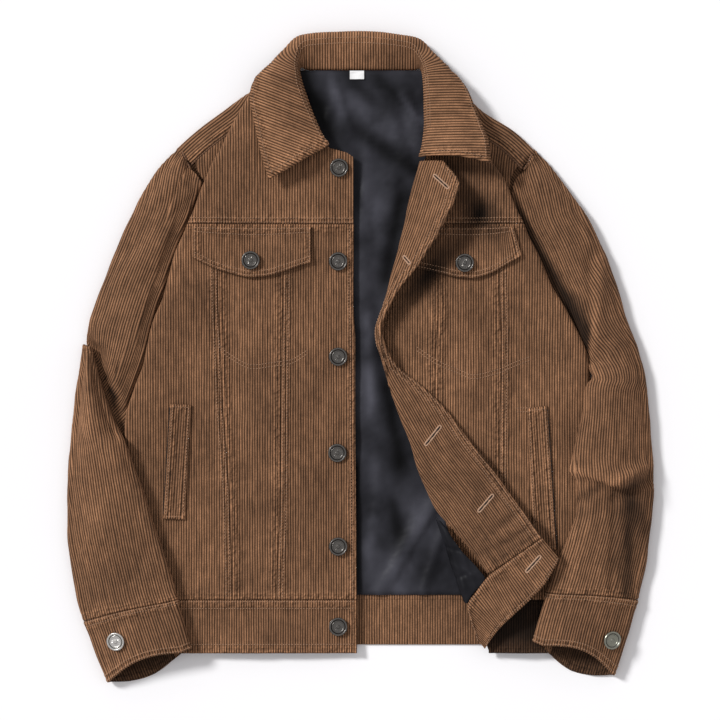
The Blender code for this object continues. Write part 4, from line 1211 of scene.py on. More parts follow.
def facing_line(key):
    """Across the facing: the fold under it, then its top out to the free edge."""
    clear = CORDUROY / 2 + SEAM_GAP + DOUBLE / 2 + 0.1
    row = next(crown_lines(LEFT_FACING, [key], 40))
    rest, crest = (float(read(LEFT_FACING, name, key)) for name in ("rest", "crest"))
    under = np.linspace(row[0][:2], row[-1][:2], 5)
    rest = max(rest, np.max(front_height("left", under[:3, 0], under[:3, 1])) + clear)
    wide = np.linalg.norm(row[-1] - row[0])
    away = (row[-1] - row[0]) / wide
    away[2] = 0
    radius = (crest - rest) / 2
    depth = min(radius, wide * 0.45)
    turn = []
    for a in np.linspace(0, math.pi, 14):
        reach = away * depth * (1 - math.sin(a))
        turn.append(row[0] + reach + (0, 0, -radius * (1 + math.cos(a))))
    start = np.array([*turn[-1][:2], crest])
    top = span(start, row[-1], 40)[1:]
    top[:, 2] += 1.5 * np.sin(np.pi * np.linspace(0, 1, 40)[1:])
    line = np.concatenate([turn, top])
    # the wales follow the line along the middle of the facing
    x, y, run = line[:, 0], line[:, 1], lengths(line)
    lean = (read(FACING_GRAIN, "x", y + 2) - read(FACING_GRAIN, "x", y - 2)) / 4
    u = (x - read(FACING_GRAIN, "x", y)) / np.hypot(1, lean)
    first = len(turn)
    u[:first] = u[first] - (run[first] - run[:first])
    return np.maximum.accumulate(u) + 1e-6 * np.arange(len(u)), line


def even_keys(ends, start, stop):
    """Keys between two, at even distances along a piece. ends(key) is a point of it."""
    keys = np.linspace(start, stop, 200)
    run = lengths(np.array([ends(key) for key in keys]))
    return np.interp(stations(0, run[-1]), run, keys)


def middle_of(tab, first="fold", second="edge"):
    """The line along a piece, midway between two of its table's lines."""

    def point(key):
        return [(read(tab, first + axis, key) + read(tab, second + axis, key)) / 2
                for axis in ("_x", "_y")]

    return point

FACING_FOLDS = table(
    FOLD,
    (157, -203, 183, -185, 3.5, -1.1),
    (153, -222, 188, -198, 3.5, -1.1),
    (140, -196, 170, -172, 4, -1.0),
    (152, -182, 178, -162, 3.5, -0.8),
    (130, -214, 150, -204, 3.5, -1.0),
    (152, -210, 190, -184, 3.5, -1.3),
    (147, -200, 180, -177, 3.5, 1.0),
    (146, -190, 172, -172, 3.5, -1.2),
    (120, -160, 150, -140, 5, 0.7),
    (92, -100, 112, -92, 5, -0.6),
    (60, -40, 80, -30, 5, 0.6),
    (60, 160, 74, 128, 6, 0.7),
)

# painted shade (below 0) in the facing's creases and a painted highlight (above 0) on a ridge
FACING_PAINTED_LIGHT = table(
    FOLD,
    (157, -203, 183, -185, 2.5, -0.4),
    (153, -222, 188, -198, 3, -0.35),
    (140, -196, 170, -172, 3, -0.3),
    (152, -182, 178, -162, 2.5, -0.25),
    (130, -214, 150, -204, 3, -0.3),
    (138, -160, 163, -142, 3, -0.2),
    (120, -196, 134, -182, 3, -0.2),
    (146, -208, 176, -184, 2.5, 0.2),
)


def facing_tone_and_painted_shade(x, y, z):
    """A little darker low down, with painted shade in the creases that run in from both edges and a
    painted highlight on a ridge between them.
    """
    return (0.96 - 0.13 * ease((100 - y) / 80)) * (1 + folds_at(FACING_PAINTED_LIGHT, x, y))


def facing_form(x, y, z):
    """The lapel stands a little higher towards its free edge."""
    fold = read(LEFT_FACING, "fold_x", np.interp(-y, -LEFT_FACING["fold_y"], LEFT_FACING["row"]))
    edge = read(LEFT_FACING, "edge_x", np.interp(-y, -LEFT_FACING["edge_y"], LEFT_FACING["row"]))
    fall = (1 - ease((edge - x) / 55)) * ease((30 - y) / 50) * ease((y + 192) / 50)
    return z + (8 * ease((x - fold - 8) / 50) * ease((y - 60) / 110) - 11 * fall) * (z > 16)


def build_turned_front():
    """The left front's facing, the turned end of its waistband and the lining between them."""
    weave(
        "left_facing", even_keys(middle_of(LEFT_FACING), 0, 15), facing_line,
        wall=DOUBLE, pitch=2.6, seams="rb", pucker=1.2,
        shape=FACING_FOLDS, form=facing_form, tone=facing_tone_and_painted_shade,
        flat=(0.07, 0.47), held="folded", rests=["left_centre_panel", "left_middle_panel"],
    )
    across = 40
    lines = np.stack(list(crown_lines(LEFT_BAND, np.linspace(0, 6, 160), across)))
    run = lengths(lines[:, across // 2])
    chosen = np.array([0, 1, 4, 8, 12, 16, 20, 24, 28, 32, 35, 38, 39])
    weave(
        "left_band_end", chosen / (across - 1),
        lambda t: (run, lines[:, int(round(t * (across - 1)))]),
        wall=DOUBLE, pitch=2.75, seams="tb", pucker=0.5,
        flat=(0.13, 0.045), held="folded", rests=["left_waistband"],
    )
    rows = 60
    lining = np.stack(list(crown_lines(LEFT_LINING, np.linspace(0, 5, rows), 30)))
    weave(
        "left_lining", np.arange(float(rows)),
        lambda row: (lengths(lining[int(row)]), lining[int(row)]),
        pitch=2, shape=LEFT_SATIN_FOLDS, tone=lambda x, y, z: 0.45 + 0 * x,
        flat=(0.028, 0.095), held="folded", rests=["left_centre_panel"], **SATIN_WEAVE,
    )


# ---------------------------------------------------------------- lining and back

SATIN_WEAVE = {"wall": SATIN, "part": 1, "rib": 0, "seams": "", "uneven": 0, "coat": "satin"}

SATIN_FOLDS = table(
    FOLD,
    (-30, 318, -12, 262, 5, 2.6),
    (-20, 322, -36, 276, 4, 1.6),
    (14, 318, 40, 268, 7, 2.2),
    (44, 312, 66, 262, 5, 2.4),
    (58, 318, 72, 290, 5, 2.0),
    (10, 250, 2, 150, 6, 1.2),
    (40, 210, 22, 120, 7, 1.0),
    (12, 60, 22, -60, 5, 0.9),
    (30, -60, 12, -200, 6, 1.0),
    (84, -160, 40, -235, 6, 2.6),
    (96, -178, 70, -262, 5, 2.4),
    (60, -180, 20, -262, 7, 1.8),
    (0, -120, 4, -260, 5, 1.0),
)
LEFT_SATIN_FOLDS = table(
    FOLD,
    (96, -190, 116, -252, 3.5, 1.8),
    (108, -200, 128, -250, 3, 1.6),
    (100, -226, 132, -240, 3, 1.3),
    (92, -206, 122, -214, 2.5, -1.2),
    (104, -244, 120, -236, 2.5, -1.2),
)

# painted highlights (above 0) and painted shade (below 0) on the back lining's folds
SATIN_PAINTED_LIGHT = table(
    FOLD,
    (-64, 316, -38, 264, 14, -0.7),
    (-32, 316, -23, 279, 5, 0.6),
    (-8, 316, 11, 293, 10, -0.55),
    (3, 282, 44, 252, 14, 0.8),
    (22, 316, 44, 297, 9, -0.5),
    (48, 297, 70, 267, 4, 0.9),
    (14, 249, 66, 215, 11, -0.65),
    (-4, 230, -1, 181, 6, -0.5),
    (7, 215, 18, 144, 12, 0.5),
    (44, 181, 29, 100, 8, -0.6),
    (7, 47, 11, -50, 5, 0.7),
    (29, -28, 44, -110, 10, -0.65),
    (-4, -121, -1, -252, 6, -0.6),
    (11, -184, 7, -237, 7, 0.5),
    (37, -162, 44, -192, 8, -0.55),
    (63, -192, 44, -252, 12, 0.6),
)


def satin_painted_light(x, y, z):
    """Painted highlights and painted shade on the satin's folds."""
    return np.clip(1 + 1.35 * folds_at(SATIN_PAINTED_LIGHT, x, y), 0.12, 2.6)


def satin(x, y):
    """Folds, and a gentler rise to the neck than the solid's."""
    rise = (LOW - FLOOR) * (ease((y - 282) / 36) - ease((y - 308) / 10))
    waves = 0.25 * np.sin(x / 5 + 2 * np.sin(y / 31))
    return (folds_at(SATIN_FOLDS, x, y) + waves) * ease((318 - y) / 30) + rise


def build_back_lining():
    """The lining over the back, narrower up at the neck."""

    def lining_line(y):
        half = 150 - 78 * ease((y - 190) / 125)
        x = np.linspace(-half, half, 150)
        return x, np.stack([x, 0 * x + y, lining_height(x, 0 * x + y)], 1)

    weave(
        "back_lining", np.linspace(-262, 327.3, 112), lining_line, pitch=3,
        shape=satin, tone=satin_painted_light, flat=(0.29, 0.59), rests=["back", "back_yoke"],
        **SATIN_WEAVE,
    )


def build_back():
    """The back and its waistband lie flat on the floor, between the fronts' side folds."""
    gap = SEAM_GAP / 2

    def back_line(y):
        right = read(RIGHT_SIDE, "fold", y) + LIP + 8
        left = read(LEFT_SIDE, "fold", y) - LIP - 8
        x = np.linspace(right, left, 30)
        return x, np.stack([x, 0 * x + y, 0 * x + FLOOR], 1)

    for name, ends, size in (
        ("back", (YOKE_Y - gap, BAND_Y - gap), (0.44, 0.42)),
        ("back_waistband", (BAND_Y - SEAM_GAP, -318), (0.4, 0.051)),
    ):
        weave(
            name, stations(*ends, 30), back_line, part=2, uneven=0, pucker=0, out=-1, rib=0.3,
            seams="", flat=size,
        )


def build_back_yoke():
    """The back yoke, from its seam up to the shoulder line and round it to the front."""
    gap = SEAM_GAP / 2
    radius = (LOW - FLOOR) / 2
    angles = np.linspace(0, math.pi, 13)[1:]
    bands = []
    for x in np.linspace(-206.9, 198, 84):
        place, inward = shoulder(x)
        start = place + inward * (radius + FLOOR)
        reach = shoulder_width(x) - radius - FLOOR
        points = [(*p, FLOOR) for p in span((x * 0.8, YOKE_Y + gap), start, 12)]
        points += [(*(start - inward * radius * math.sin(a)),
                    FLOOR + radius * (1 - math.cos(a))) for a in angles]
        points += [(*(start + inward * reach * t), FLOOR + 2 * radius)
                   for t in (0.15, 0.4, 0.7, 0.92, 1)]
        bands.append(points)
    bands = np.array(bands)

    def path_line(v):
        run = lengths(bands[int(v)])
        return run - run[-1], bands[int(v)]

    weave(
        "back_yoke", np.arange(float(len(bands))), path_line, pitch=3.0, uneven=0,
        pucker=0, seams="r", fine=(-60, 0), flat=(0.4, 0.16), held="folded",
    )


# ---------------------------------------------------------------- the sleeves

RIGHT_SLEEVE_FOLDS = table(
    FOLD,
    (-200, 207, -236, 178, 5, 0.9),
    (-196, 197, -232, 168, 4.5, -0.9),
    (-194, 188, -228, 160, 5, 0.8),
    (-204, 172, -222, 146, 5, -0.7),
    (-224, 196, -250, 132, 8, -0.8),
    (-262, 60, -284, 8, 9, -1.2),
    (-240, 52, -262, 4, 8, 0.9),
)
# painted highlights (above 0) and painted shade (below 0) on the left sleeve's roll and creases
LEFT_SLEEVE_PAINTED_LIGHT = table(
    FOLD,
    (240, -121, 282, -133, 4, 0.6),
    (282, -133, 318, -118, 4, 0.55),
    (288, -145, 320, -133, 6, -0.35),
    (264, -141, 249, -151, 5, -0.5),
    (284, -154, 282, -254, 4, -0.25),
    (301, -160, 297, -262, 10, -0.6),
    (312, -165, 326, -200, 10, -0.4),
    (318, -215, 308, -262, 4, 0.2),
    (266, 105, 259, 6, 6, 0.16),
)
RIGHT_FOREARM_FOLDS = table(
    FOLD,
    (-236, -150, -262, -190, 7, -1.0),
    (-228, -196, -250, -232, 6, -1.2),
    (-300, -60, -306, -140, 8, 0.7),
    (-222, -226, -262, -262, 5, 0.9),
    (-325, -150, -318, -188, 2.5, 0.9),
    (-307, -196, -316, -211, 2.5, -1.0),
    (-302, -198, -311, -213, 2.5, 0.8),
)
LEFT_SLEEVE_FOLDS = table(
    FOLD,
    (212, 181, 259, 111, 7, -1.3),
    (249, 167, 261, 136, 5, 1.2),
    (222, 152, 250, 118, 6, 1.0),
    (198, 205, 236, 180, 4, 1.0),
    (270, 112, 262, 2, 6, 2.2),
    (257, 108, 252, 20, 8, -2.4),
    (238, -120, 282, -132, 6, 4.2),
    (282, -132, 314, -119, 6, 3.4),
    (266, -139, 248, -151, 3.5, -3),
    (290, -149, 314, -139, 6, -2.4),
    (283, -150, 280, -254, 5, -3),
    (304, -168, 309, -235, 10, -2.6),
    (262, -150, 246, -254, 9, 2.2),
)


def right_sleeve_form(x, y, z):
    """The top stays high up to the fold of the front, and sinks into the elbow's opening."""
    gone = read(RIGHT_SIDE, "fold", y) - x
    high = 9 + (4.5 + 0.33 * gone) * ease((gone - 0.5) / 3.5)
    high = np.minimum(high, 21)
    upper = (z > 6) * ease((222 - y) / 30)
    z = z + np.maximum(0, high - z) * upper * (gone < 26)
    sunk = in_elbow(x, y) * (z > 6)
    return np.where(sunk > 0, np.maximum(z - 13 * sunk, np.minimum(z, 4.6)), z)


def in_elbow(x, y):
    """1 inside the dark opening between the upper arm and the forearm, at the elbow."""
    brink = np.interp(y, (-80, -72, -54, -24, 13), (-267, -261, -262, -278.7, -299))
    return ease((brink + 1.5 - x) / 4) * ease((18 - y) / 12)


def right_sleeve_painted_shade(x, y, z):
    """Painted shade: the upper arm's cloth is darkened down in the elbow's opening."""
    return 1 - 0.93 * in_elbow(x, y) * ease((z - 4) / 3)


def past_forearm_edge(x, y):
    """How far the forearm's cloth has gone over its edge, into the elbow's opening."""
    edge = np.interp(y, (-166, -132, -76, 22), (-226.8, -243.6, -271.6, -306.3))
    return ease((x - edge - 0.5) / 3.5) * ease((14 - y) / 16) * ease((y + 100) / 30)


def right_forearm_form(x, y, z):
    """Past its edge the forearm's top sinks into the opening."""
    return np.where(z > 6, np.maximum(z - 11 * past_forearm_edge(x, y), 5.5), z)


def right_forearm_painted_shade(x, y, z):
    """Painted shade: the forearm's cloth is darkened there, past its edge in the opening."""
    return 1 - 0.8 * past_forearm_edge(x, y)

# where the painted shade lies in the hollow beside the left front's fold
LEFT_HOLLOW = table(
    "y wide brink",
    (185, 7, 400),
    (137, 10, 268),
    (107, 16, 266),
    (86, 20, 264),
    (69, 27, 262),
    (52, 25, 260.5),
    (19, 14, 257.5),
    (-2, 5, 255),
)


def left_sleeve_painted_light(x, y, z):
    """Painted shade in the deep hollow beside the fold of the left front, up to the forearm's fold,
    and painted highlights and shade on the forearm's roll and creases.
    """
    gone = x - read(LEFT_SIDE, "fold", y)
    dark = 1 - ease((gone / read(LEFT_HOLLOW, "wide", y) - 0.35) / 0.9)
    dark = dark * ease((read(LEFT_HOLLOW, "brink", y) - x) / 2.5)
    dark = dark * ease((205 - y) / 40) * ease((y + 3) / 8)
    above = ease((z - 5) / 4)
    return (1 - 0.9 * dark * above) * (1 + folds_at(LEFT_SLEEVE_PAINTED_LIGHT, x, y) * above)


def left_sleeve_move(x, y, z):
    """The inner side comes up to the fold of the front, and the head's corner is eased in."""
    inner = 3 * ridge((y + 56) / 28) - 7.5 * ease((y + 29) / 32) * ease((85 - y) / 65)
    return x + inner * ease((305 - x) / 60) - 4.5 * ridge(np.hypot(x - 203, y - 235) / 12)


def right_sleeve_move(x, y, z):
    """The head's corner is eased in."""
    return x + 4.5 * ridge(np.hypot(x + 208, y - 239) / 12)

SLEEVE_LOOKS = {
    "right_sleeve_upper": {
        "shape": RIGHT_SLEEVE_FOLDS, "move": right_sleeve_move,
        "form": right_sleeve_form, "tone": right_sleeve_painted_shade,
    },
    "right_sleeve_forearm": {
        "shape": RIGHT_FOREARM_FOLDS, "form": right_forearm_form, "tone": right_forearm_painted_shade,
    },
    "left_sleeve": {
        "shape": LEFT_SLEEVE_FOLDS, "move": left_sleeve_move, "tone": left_sleeve_painted_light,
        "nodes": ("left_sleeve_upper", "left_sleeve_forearm"),
    },
}


def sleeve_line(side, tab, key, wall):
    """Round a sleeve, by distance along the cloth from the middle of its top."""
    count, turns = 44, 9
    line = np.array(sleeve_section(side, tab, key, wall, count, turns))
    outer = np.array([read(tab, "out" + axis, key) for axis in ("_x", "_y")])
    inner = np.array([read(tab, "in" + axis, key) for axis in ("_x", "_y")])
    away = (outer - inner) / np.linalg.norm(outer - inner)
    across = (line[:, :2] - inner) @ away
    run = lengths(line)
    top = slice(count + turns // 2, 2 * count + turns)
    centre = np.interp(-np.linalg.norm(outer - inner) / 2, -across[top], run[top])
    return run - centre, line


def build_sleeves():
    """Each stretch of a sleeve, from key to key of its table. A small gap parts it from a cuff."""
    gap = 0.004
    for name, tab, start, stop, wall, flat in (
        ("right_sleeve_upper", RIGHT_UPPER_ARM, 0, 9, CORDUROY, (0.2, 0.27)),
        ("right_sleeve_forearm", RIGHT_FOREARM, 0, 8 - gap, CORDUROY, (0.19, 0.29)),
        ("right_cuff", RIGHT_FOREARM, 8 + gap, 9, DOUBLE, (0.24, 0.06)),
        ("left_sleeve", LEFT_SLEEVE, 0, 19 - gap, CORDUROY, (0.2, 0.56)),
        ("left_cuff", LEFT_SLEEVE, 19 + gap, 20, DOUBLE, (0.24, 0.06)),
    ):
        side = name.split("_")[0]
        upper = name == "right_sleeve_upper"
        weave(
            name, even_keys(middle_of(tab, "out", "in"), start, stop),
            lambda key: sleeve_line(side, tab, key, wall),
            wall=wall, pitch=2.97, fine=(-84, 84), pucker=0.5, seams="t" if upper else "tb",
            # the cuffs' inner walls, seen in their mouths, are darkened to 0.35: painted shade
            inside_painted_share=0.35 if "cuff" in name else 1.0, flat=flat, held="folded",
            rests=["back" if upper else side + "_side_panel"], **SLEEVE_LOOKS.get(name, {}),
        )


# ---------------------------------------------------------------- the collar

COLLAR_SLANT = (0.37, 0.93)


def collar_rows(dense):
    """Lines round the collar: the five of its table, and others on smooth curves between."""
    five = np.stack([
        np.stack([read(COLLAR, part + axis, dense) for axis in ("_x", "_y", "_z")], 1)
        for part in COLLAR_PARTS
    ])
    ends = np.concatenate([[2 * five[0] - five[1]], five, [2 * five[-1] - five[-2]]])
    rows = []
    for i in range(4):
        before, start, stop, after = ends[i:i + 4]
        for t in np.arange(8) / 8:
            bend = (2 * start + (stop - before) * t
                    + (2 * before - 5 * start + 4 * stop - after) * t ** 2
                    + (3 * start - before - 3 * stop + after) * t ** 3)
            rows.append(bend / 2)
    rows.append(five[-1])
    return np.array(rows)


def collar_form(x, y, z):
    """The leaves' lower ends stand a little clear of the yokes."""
    left = 9 * ease((278 - y) / 48) * ease((x - 60) / 30)
    right = 5 * ease((262 - y) / 45) * ease((-40 - x) / 30)
    return z + left + right


def build_collar():
    """The collar, in one piece round the neck, with its rows from the stand to the leaf's edge."""
    dense = np.linspace(0, 16, 500)
    rows = collar_rows(dense)
    on_right = 1 - ease((dense - 4.3) / 2.4)
    on_left = ease((dense - 9.3) / 2.4)

    def collar_line(v):
        """Straight wales: aslant on the right leaf, upright at the back, level on the left."""
        x, y, _ = rows[int(v)].T
        u = on_right * (COLLAR_SLANT[0] * x + COLLAR_SLANT[1] * y + 37)
        u = u + (1 - on_right - on_left) * (x + 407) + on_left * (830 - y)
        return np.maximum.accumulate(u) + 1e-6 * np.arange(len(u)), rows[int(v)]

    weave(
        "collar", np.arange(float(len(rows))), collar_line, wall=DOUBLE, pitch=3.0, seams="lrb",
        pucker=0.7, uneven=0.6, held="folded", flat=(0.47, 0.075),
        tone=lambda x, y, z: 1.08 + 0.2 * ease((40 - x) / 60), form=collar_form,
        rests=["back_yoke", "right_yoke", "left_yoke"],
    )


def build_label():
    """The bare neck label, slightly waved on the lining."""
    long, wide, half = 9, 7, 0.35
    x, y = np.meshgrid(np.linspace(-12, 4, long), np.linspace(317.5, 327, wide))
    z = 11.2 + 0.5 * np.sin((x + 4) / 3) * (y < 325)
    low, top = (np.stack([x, y, z + up], -1).reshape(-1, 3) for up in (-half, half))
    count = long * wide
    ids = np.arange(count).reshape(wide, long)
    quads = np.stack([ids[:-1, :-1], ids[:-1, 1:], ids[1:, 1:], ids[1:, :-1]], -1).reshape(-1, 4)
    ring = np.concatenate([ids[0], ids[1:, -1], ids[-1, -2::-1], ids[-2:0:-1, 0]])
    after = np.roll(ring, -1)
    walls = np.stack([ring, ring + count, after + count, after], 1)
    faces = np.concatenate([quads + count, quads[:, ::-1], walls[:, ::-1]])
    mesh = bpy.data.meshes.new("neck_label")
    mesh.from_pydata(np.concatenate([low, top]) * MM, [], faces.tolist())
    piece = add_piece("neck_label_tag", mesh, "label", ("neck_label",))


# ---------------------------------------------------------------- thread


def thread_mesh(name, stitches, coat="thread", thick=0.55):
    """One mesh of stitches, each a short raised tube: (middle, direction, normal, length)."""
    sides, bends = 4, ((-0.5, -0.3, 0.4), (0, 0.32, 1), (0.5, -0.3, 0.4))
    ring = [(math.cos(a), math.sin(a)) for a in np.linspace(0, 2 * math.pi, sides + 1)[:-1]]
    middle, along, normal, long = (np.array(part) for part in zip(*stitches))
    long = long[:, None]
    side = np.cross(normal, along)
    points = np.stack([
        middle + along * long * place + normal * (high + thick * share * s)
        + side * thick * share * c
        for place, high, share in bends for c, s in ring
    ], 1)
    faces = [
        (k + i, k + j, k + sides + j, k + sides + i)
        for k in (0, sides) for i, j in zip(range(sides), (1, 2, 3, 0))
    ]
    faces = np.array([*faces, (0, 3, 2, 1), (8, 9, 10, 11)])
    firsts = np.arange(len(points)) * len(points[0])
    mesh = bpy.data.meshes.new(name)
    all_faces = (faces + firsts[:, None, None]).reshape(-1, sides)
    mesh.from_pydata(points.reshape(-1, 3) * MM, [], all_faces.tolist())
    mesh.shade_smooth()
    add_piece(name, mesh, coat, ())


def run_stitches(points, normals, gap=3.4, long=2.5):
    """Stitches along a line of points."""
    run = lengths(points)

    def value(lines, s):
        return np.array([np.interp(s, run, lines[:, k]) for k in range(3)])

    made = []
    for s in np.arange(gap / 2, run[-1], gap):
        normal = value(normals, s)
        normal /= np.linalg.norm(normal)
        along = value(points, s + 1) - value(points, s - 1)
        along -= normal * (along @ normal)
        along /= np.linalg.norm(along)
        made.append((value(points, s), along, normal, long))
    return made


def along_edge(piece, which, inset, start, stop):
    """A line of stitches at an inset from one edge of a piece, between two v."""
    v = np.linspace(start, stop, 300)
    u = piece.side(which, v) + (inset if which == "low" else -inset)
    return run_stitches(*piece.at(u, v))


def across_piece(piece, v, start, stop, count=300):
    """A line of stitches across a piece at v, between two u."""
    u = np.linspace(start, stop, count)
    return run_stitches(*piece.at(u, u * 0 + v))

BAG_LINES = table(
    "row side x y",
    (0, -1, -160.2, 35.8),
    (1, -1, -157.4, 19),
    (2, -1, -140.6, 5),
    (3, -1, -121, -3.4),
    (4, -1, -98.6, -0.6),
    (5, -1, -79, 2.2),
    (6, -1, -59.4, 13.4),
    (7, 1, 63, 17.1),
    (8, 1, 85.3, 2.2),
    (9, 1, 111.4, -9),
    (10, 1, 126.3, -14.6),
    (11, 1, 152.5, -9),
    (12, 1, 174.9, 0.3),
    (13, 1, 189.8, 5.9),
)
WELT_BAG_LINE = ((174.9, 210.3), (-51.9, -50.7))
DOUBLE_ROW = (0, 4.2)


def on_front(side, x, y):
    """Points on the outside of a front, with their normals."""
    z = front_height(side, x, y) + CORDUROY / 2 + unevenness(x, y)
    z = z + folds_at(FRONT_CREASES, x, y) + 0.25
    return np.stack([x, y, z], 1), np.zeros((len(x), 3)) + (0, 0, 1)


def stitch_bags():
    """The stitches that show where the pocket bags are sewn, and painted shade in the pocket
    mouths.
    """
    stitches = []
    for side, sign in (("right", -1), ("left", 1)):
        chosen = BAG_LINES["side"] == sign
        row = BAG_LINES["row"][chosen]
        at = np.linspace(row[0], row[-1], 200)
        x, y = (read({"row": row, "at": BAG_LINES[axis][chosen]}, "at", at) for axis in "xy")
        for away in DOUBLE_ROW:
            stitches += run_stitches(*on_front(side, x, y - away))
    x, y = (np.linspace(*ends, 60) for ends in WELT_BAG_LINE)
    for away in DOUBLE_ROW:
        stitches += run_stitches(*on_front("left", x, y - away))
    x, y = (np.linspace(*ends, 100) for ends in ((193.5, 194.5), (-58, -142)))
    stitches += run_stitches(*on_front("left", x, y))
    thread_mesh("pocket_bag_stitches", stitches, thick=0.5)
    # painted shade: dark strips laid along the open edge of each welt stand for the shade in its
    # mouth
    mouths = []
    for side, which, out in (("right", "low", -0.6), ("left", "high", 0.6)):
        welt = MADE[side + "_welt"]
        v = np.linspace(welt.vs[0] + 4, welt.vs[-1] - 4, 60)
        middle, up = welt.at(welt.side(which, v), v)
        mouths += run_stitches(middle + (out, 0, -0.5), up, 4, 4.6)
    thread_mesh("pocket_mouth_shade", mouths, "hole", 0.8)


def build_seam_rolls():
    """The gathered roll of cloth that shows in the armhole and shoulder seams."""
    rolls = []
    for name in ("right_sleeve_upper", "left_sleeve"):
        sleeve = MADE[name]
        u = np.linspace(-27, 27, 80)
        line, up = sleeve.at(u, sleeve.vs[0])
        inner, _ = sleeve.at(u, sleeve.vs[4])
        away = line - inner
        away[:, 2] = 0
        line = line + 1.5 * away / np.linalg.norm(away, axis=1, keepdims=True)
        line[:, 2] -= 1.2
        top = line[:, 2] > 5
        rolls += run_stitches(line[top], up[top], 3.1, 4.6)
    yoke = MADE["back_yoke"]
    x = yoke.at(-1, yoke.vs)[0][:, 0]
    for chosen in (x < -84, x > 80):
        line, up = yoke.at(0.2, yoke.vs[chosen])
        line[:, 2] -= 0.6
        rolls += run_stitches(line, up, 3.1, 4.6)
    thread_mesh("seam_rolls", rolls, "seam", 1.5)


SEAM_ROWS = (1.8, 6.5)
YOKE_ROWS = (2.0, 6.5)
BAND_ROWS = (2.0, 9.5, 50.0)
FLAP_ROWS = (2.2, 7.0)
CUFF_ROWS = (2.0, 7.0)
EDGE_ROW = 2.2


def stitch_front(side):
    """The rows of stitches on one front, and on its flap, its welt and its cuff."""
    right = side == "right"
    stitches = []
    ends = YOKE_Y - 2, BAND_Y + 2
    for inset in SEAM_ROWS:
        panel = MADE[side + "_side_panel"]
        stitches += along_edge(panel, "high" if right else "low", inset, *ends)
    for which, inset in [*(("low", row) for row in SEAM_ROWS), ("high", 5)] if right else []:
        stitches += along_edge(MADE["right_centre_panel"], which, inset, *ends)

    fold, neck = read(SIDES[side][0], "fold", YOKE_Y), read(NECK, side, YOKE_Y)
    for up in YOKE_ROWS:
        ends = min(fold, neck) + 2, max(fold, neck) - 2
        stitches += across_piece(MADE[side + "_yoke"], YOKE_Y + up, *ends)
    for down in BAND_ROWS if right else ():
        fold, edge = read(RIGHT_SIDE, "fold", BAND_Y - 20), read(RIGHT_SEAMS, "edge", BAND_Y - 20)
        stitches += across_piece(MADE["right_waistband"], BAND_Y - down, fold + 2, edge - 2)

    flap = MADE[side + "_flap"]
    feet = flap.us[1] + 2, flap.us[-2] - 2
    for t in (0.05, 0.16):
        stitches += across_piece(flap, t, *feet)
    u = np.linspace(*feet, 200)
    for inset in FLAP_ROWS:
        foot = FLAP_TOP - read(FLAPS[side], "foot", u)
        stitches += run_stitches(*flap.at(u, 1 - inset / foot))
    for which in ("low", "high"):
        stitches += along_edge(flap, which, EDGE_ROW, 0.05, 0.95)

    welt = MADE[side + "_welt"]
    ends = welt.vs[0] + 3, welt.vs[-1] - 3
    for which in ("low", "high"):
        stitches += along_edge(welt, which, EDGE_ROW, *ends)
    for v in ends:
        stitches += across_piece(welt, v, welt.low[0] + 2, welt.high[0] - 2)

    cuff = MADE[side + "_cuff"]
    low, high = min(cuff.vs), max(cuff.vs)
    for inset in CUFF_ROWS:
        share = inset / 60 * (high - low)
        for v in (low + share, high - share):
            stitches += across_piece(cuff, v, -62, 62)
    thread_mesh(side + "_front_stitches", stitches)


def stitch_collar_and_facing():
    """The rows of stitches on the facing, the turned end of the waistband and the collar."""
    stitches = []
    for inset in (2.8, 9.0):
        stitches += along_edge(MADE["left_facing"], "high", inset, 0.3, 14.7)
    band_end = MADE["left_band_end"]
    for t in (0.05, 0.93):
        stitches += across_piece(band_end, t, band_end.us[2], band_end.us[-3])
    collar = MADE["collar"]
    foot = len(collar.vs) - 2.2
    stitches += across_piece(collar, foot, collar.low[-2] + 4, collar.high[-2] - 4, 400)
    for which in ("low", "high"):
        stitches += along_edge(collar, which, 5, 18, foot)
    for v in (12, 15):
        stitches += across_piece(collar, v, collar.us[0] + 40, collar.us[-1] - 40, 400)
    thread_mesh("collar_and_facing_stitches", stitches)

BUTTONHOLES = table(
    "row x0 y0 x1 y1",
    (0, 82.3, 207.2, 96.9, 193.8),
    (1, 48.7, 117.6, 54.3, 110.9),
    (2, 73.4, -90.7, 89, -72.8),
    (3, 132.7, -165.8, 147.3, -149),
    (4, 185.4, -233, 199.9, -217.3),
)


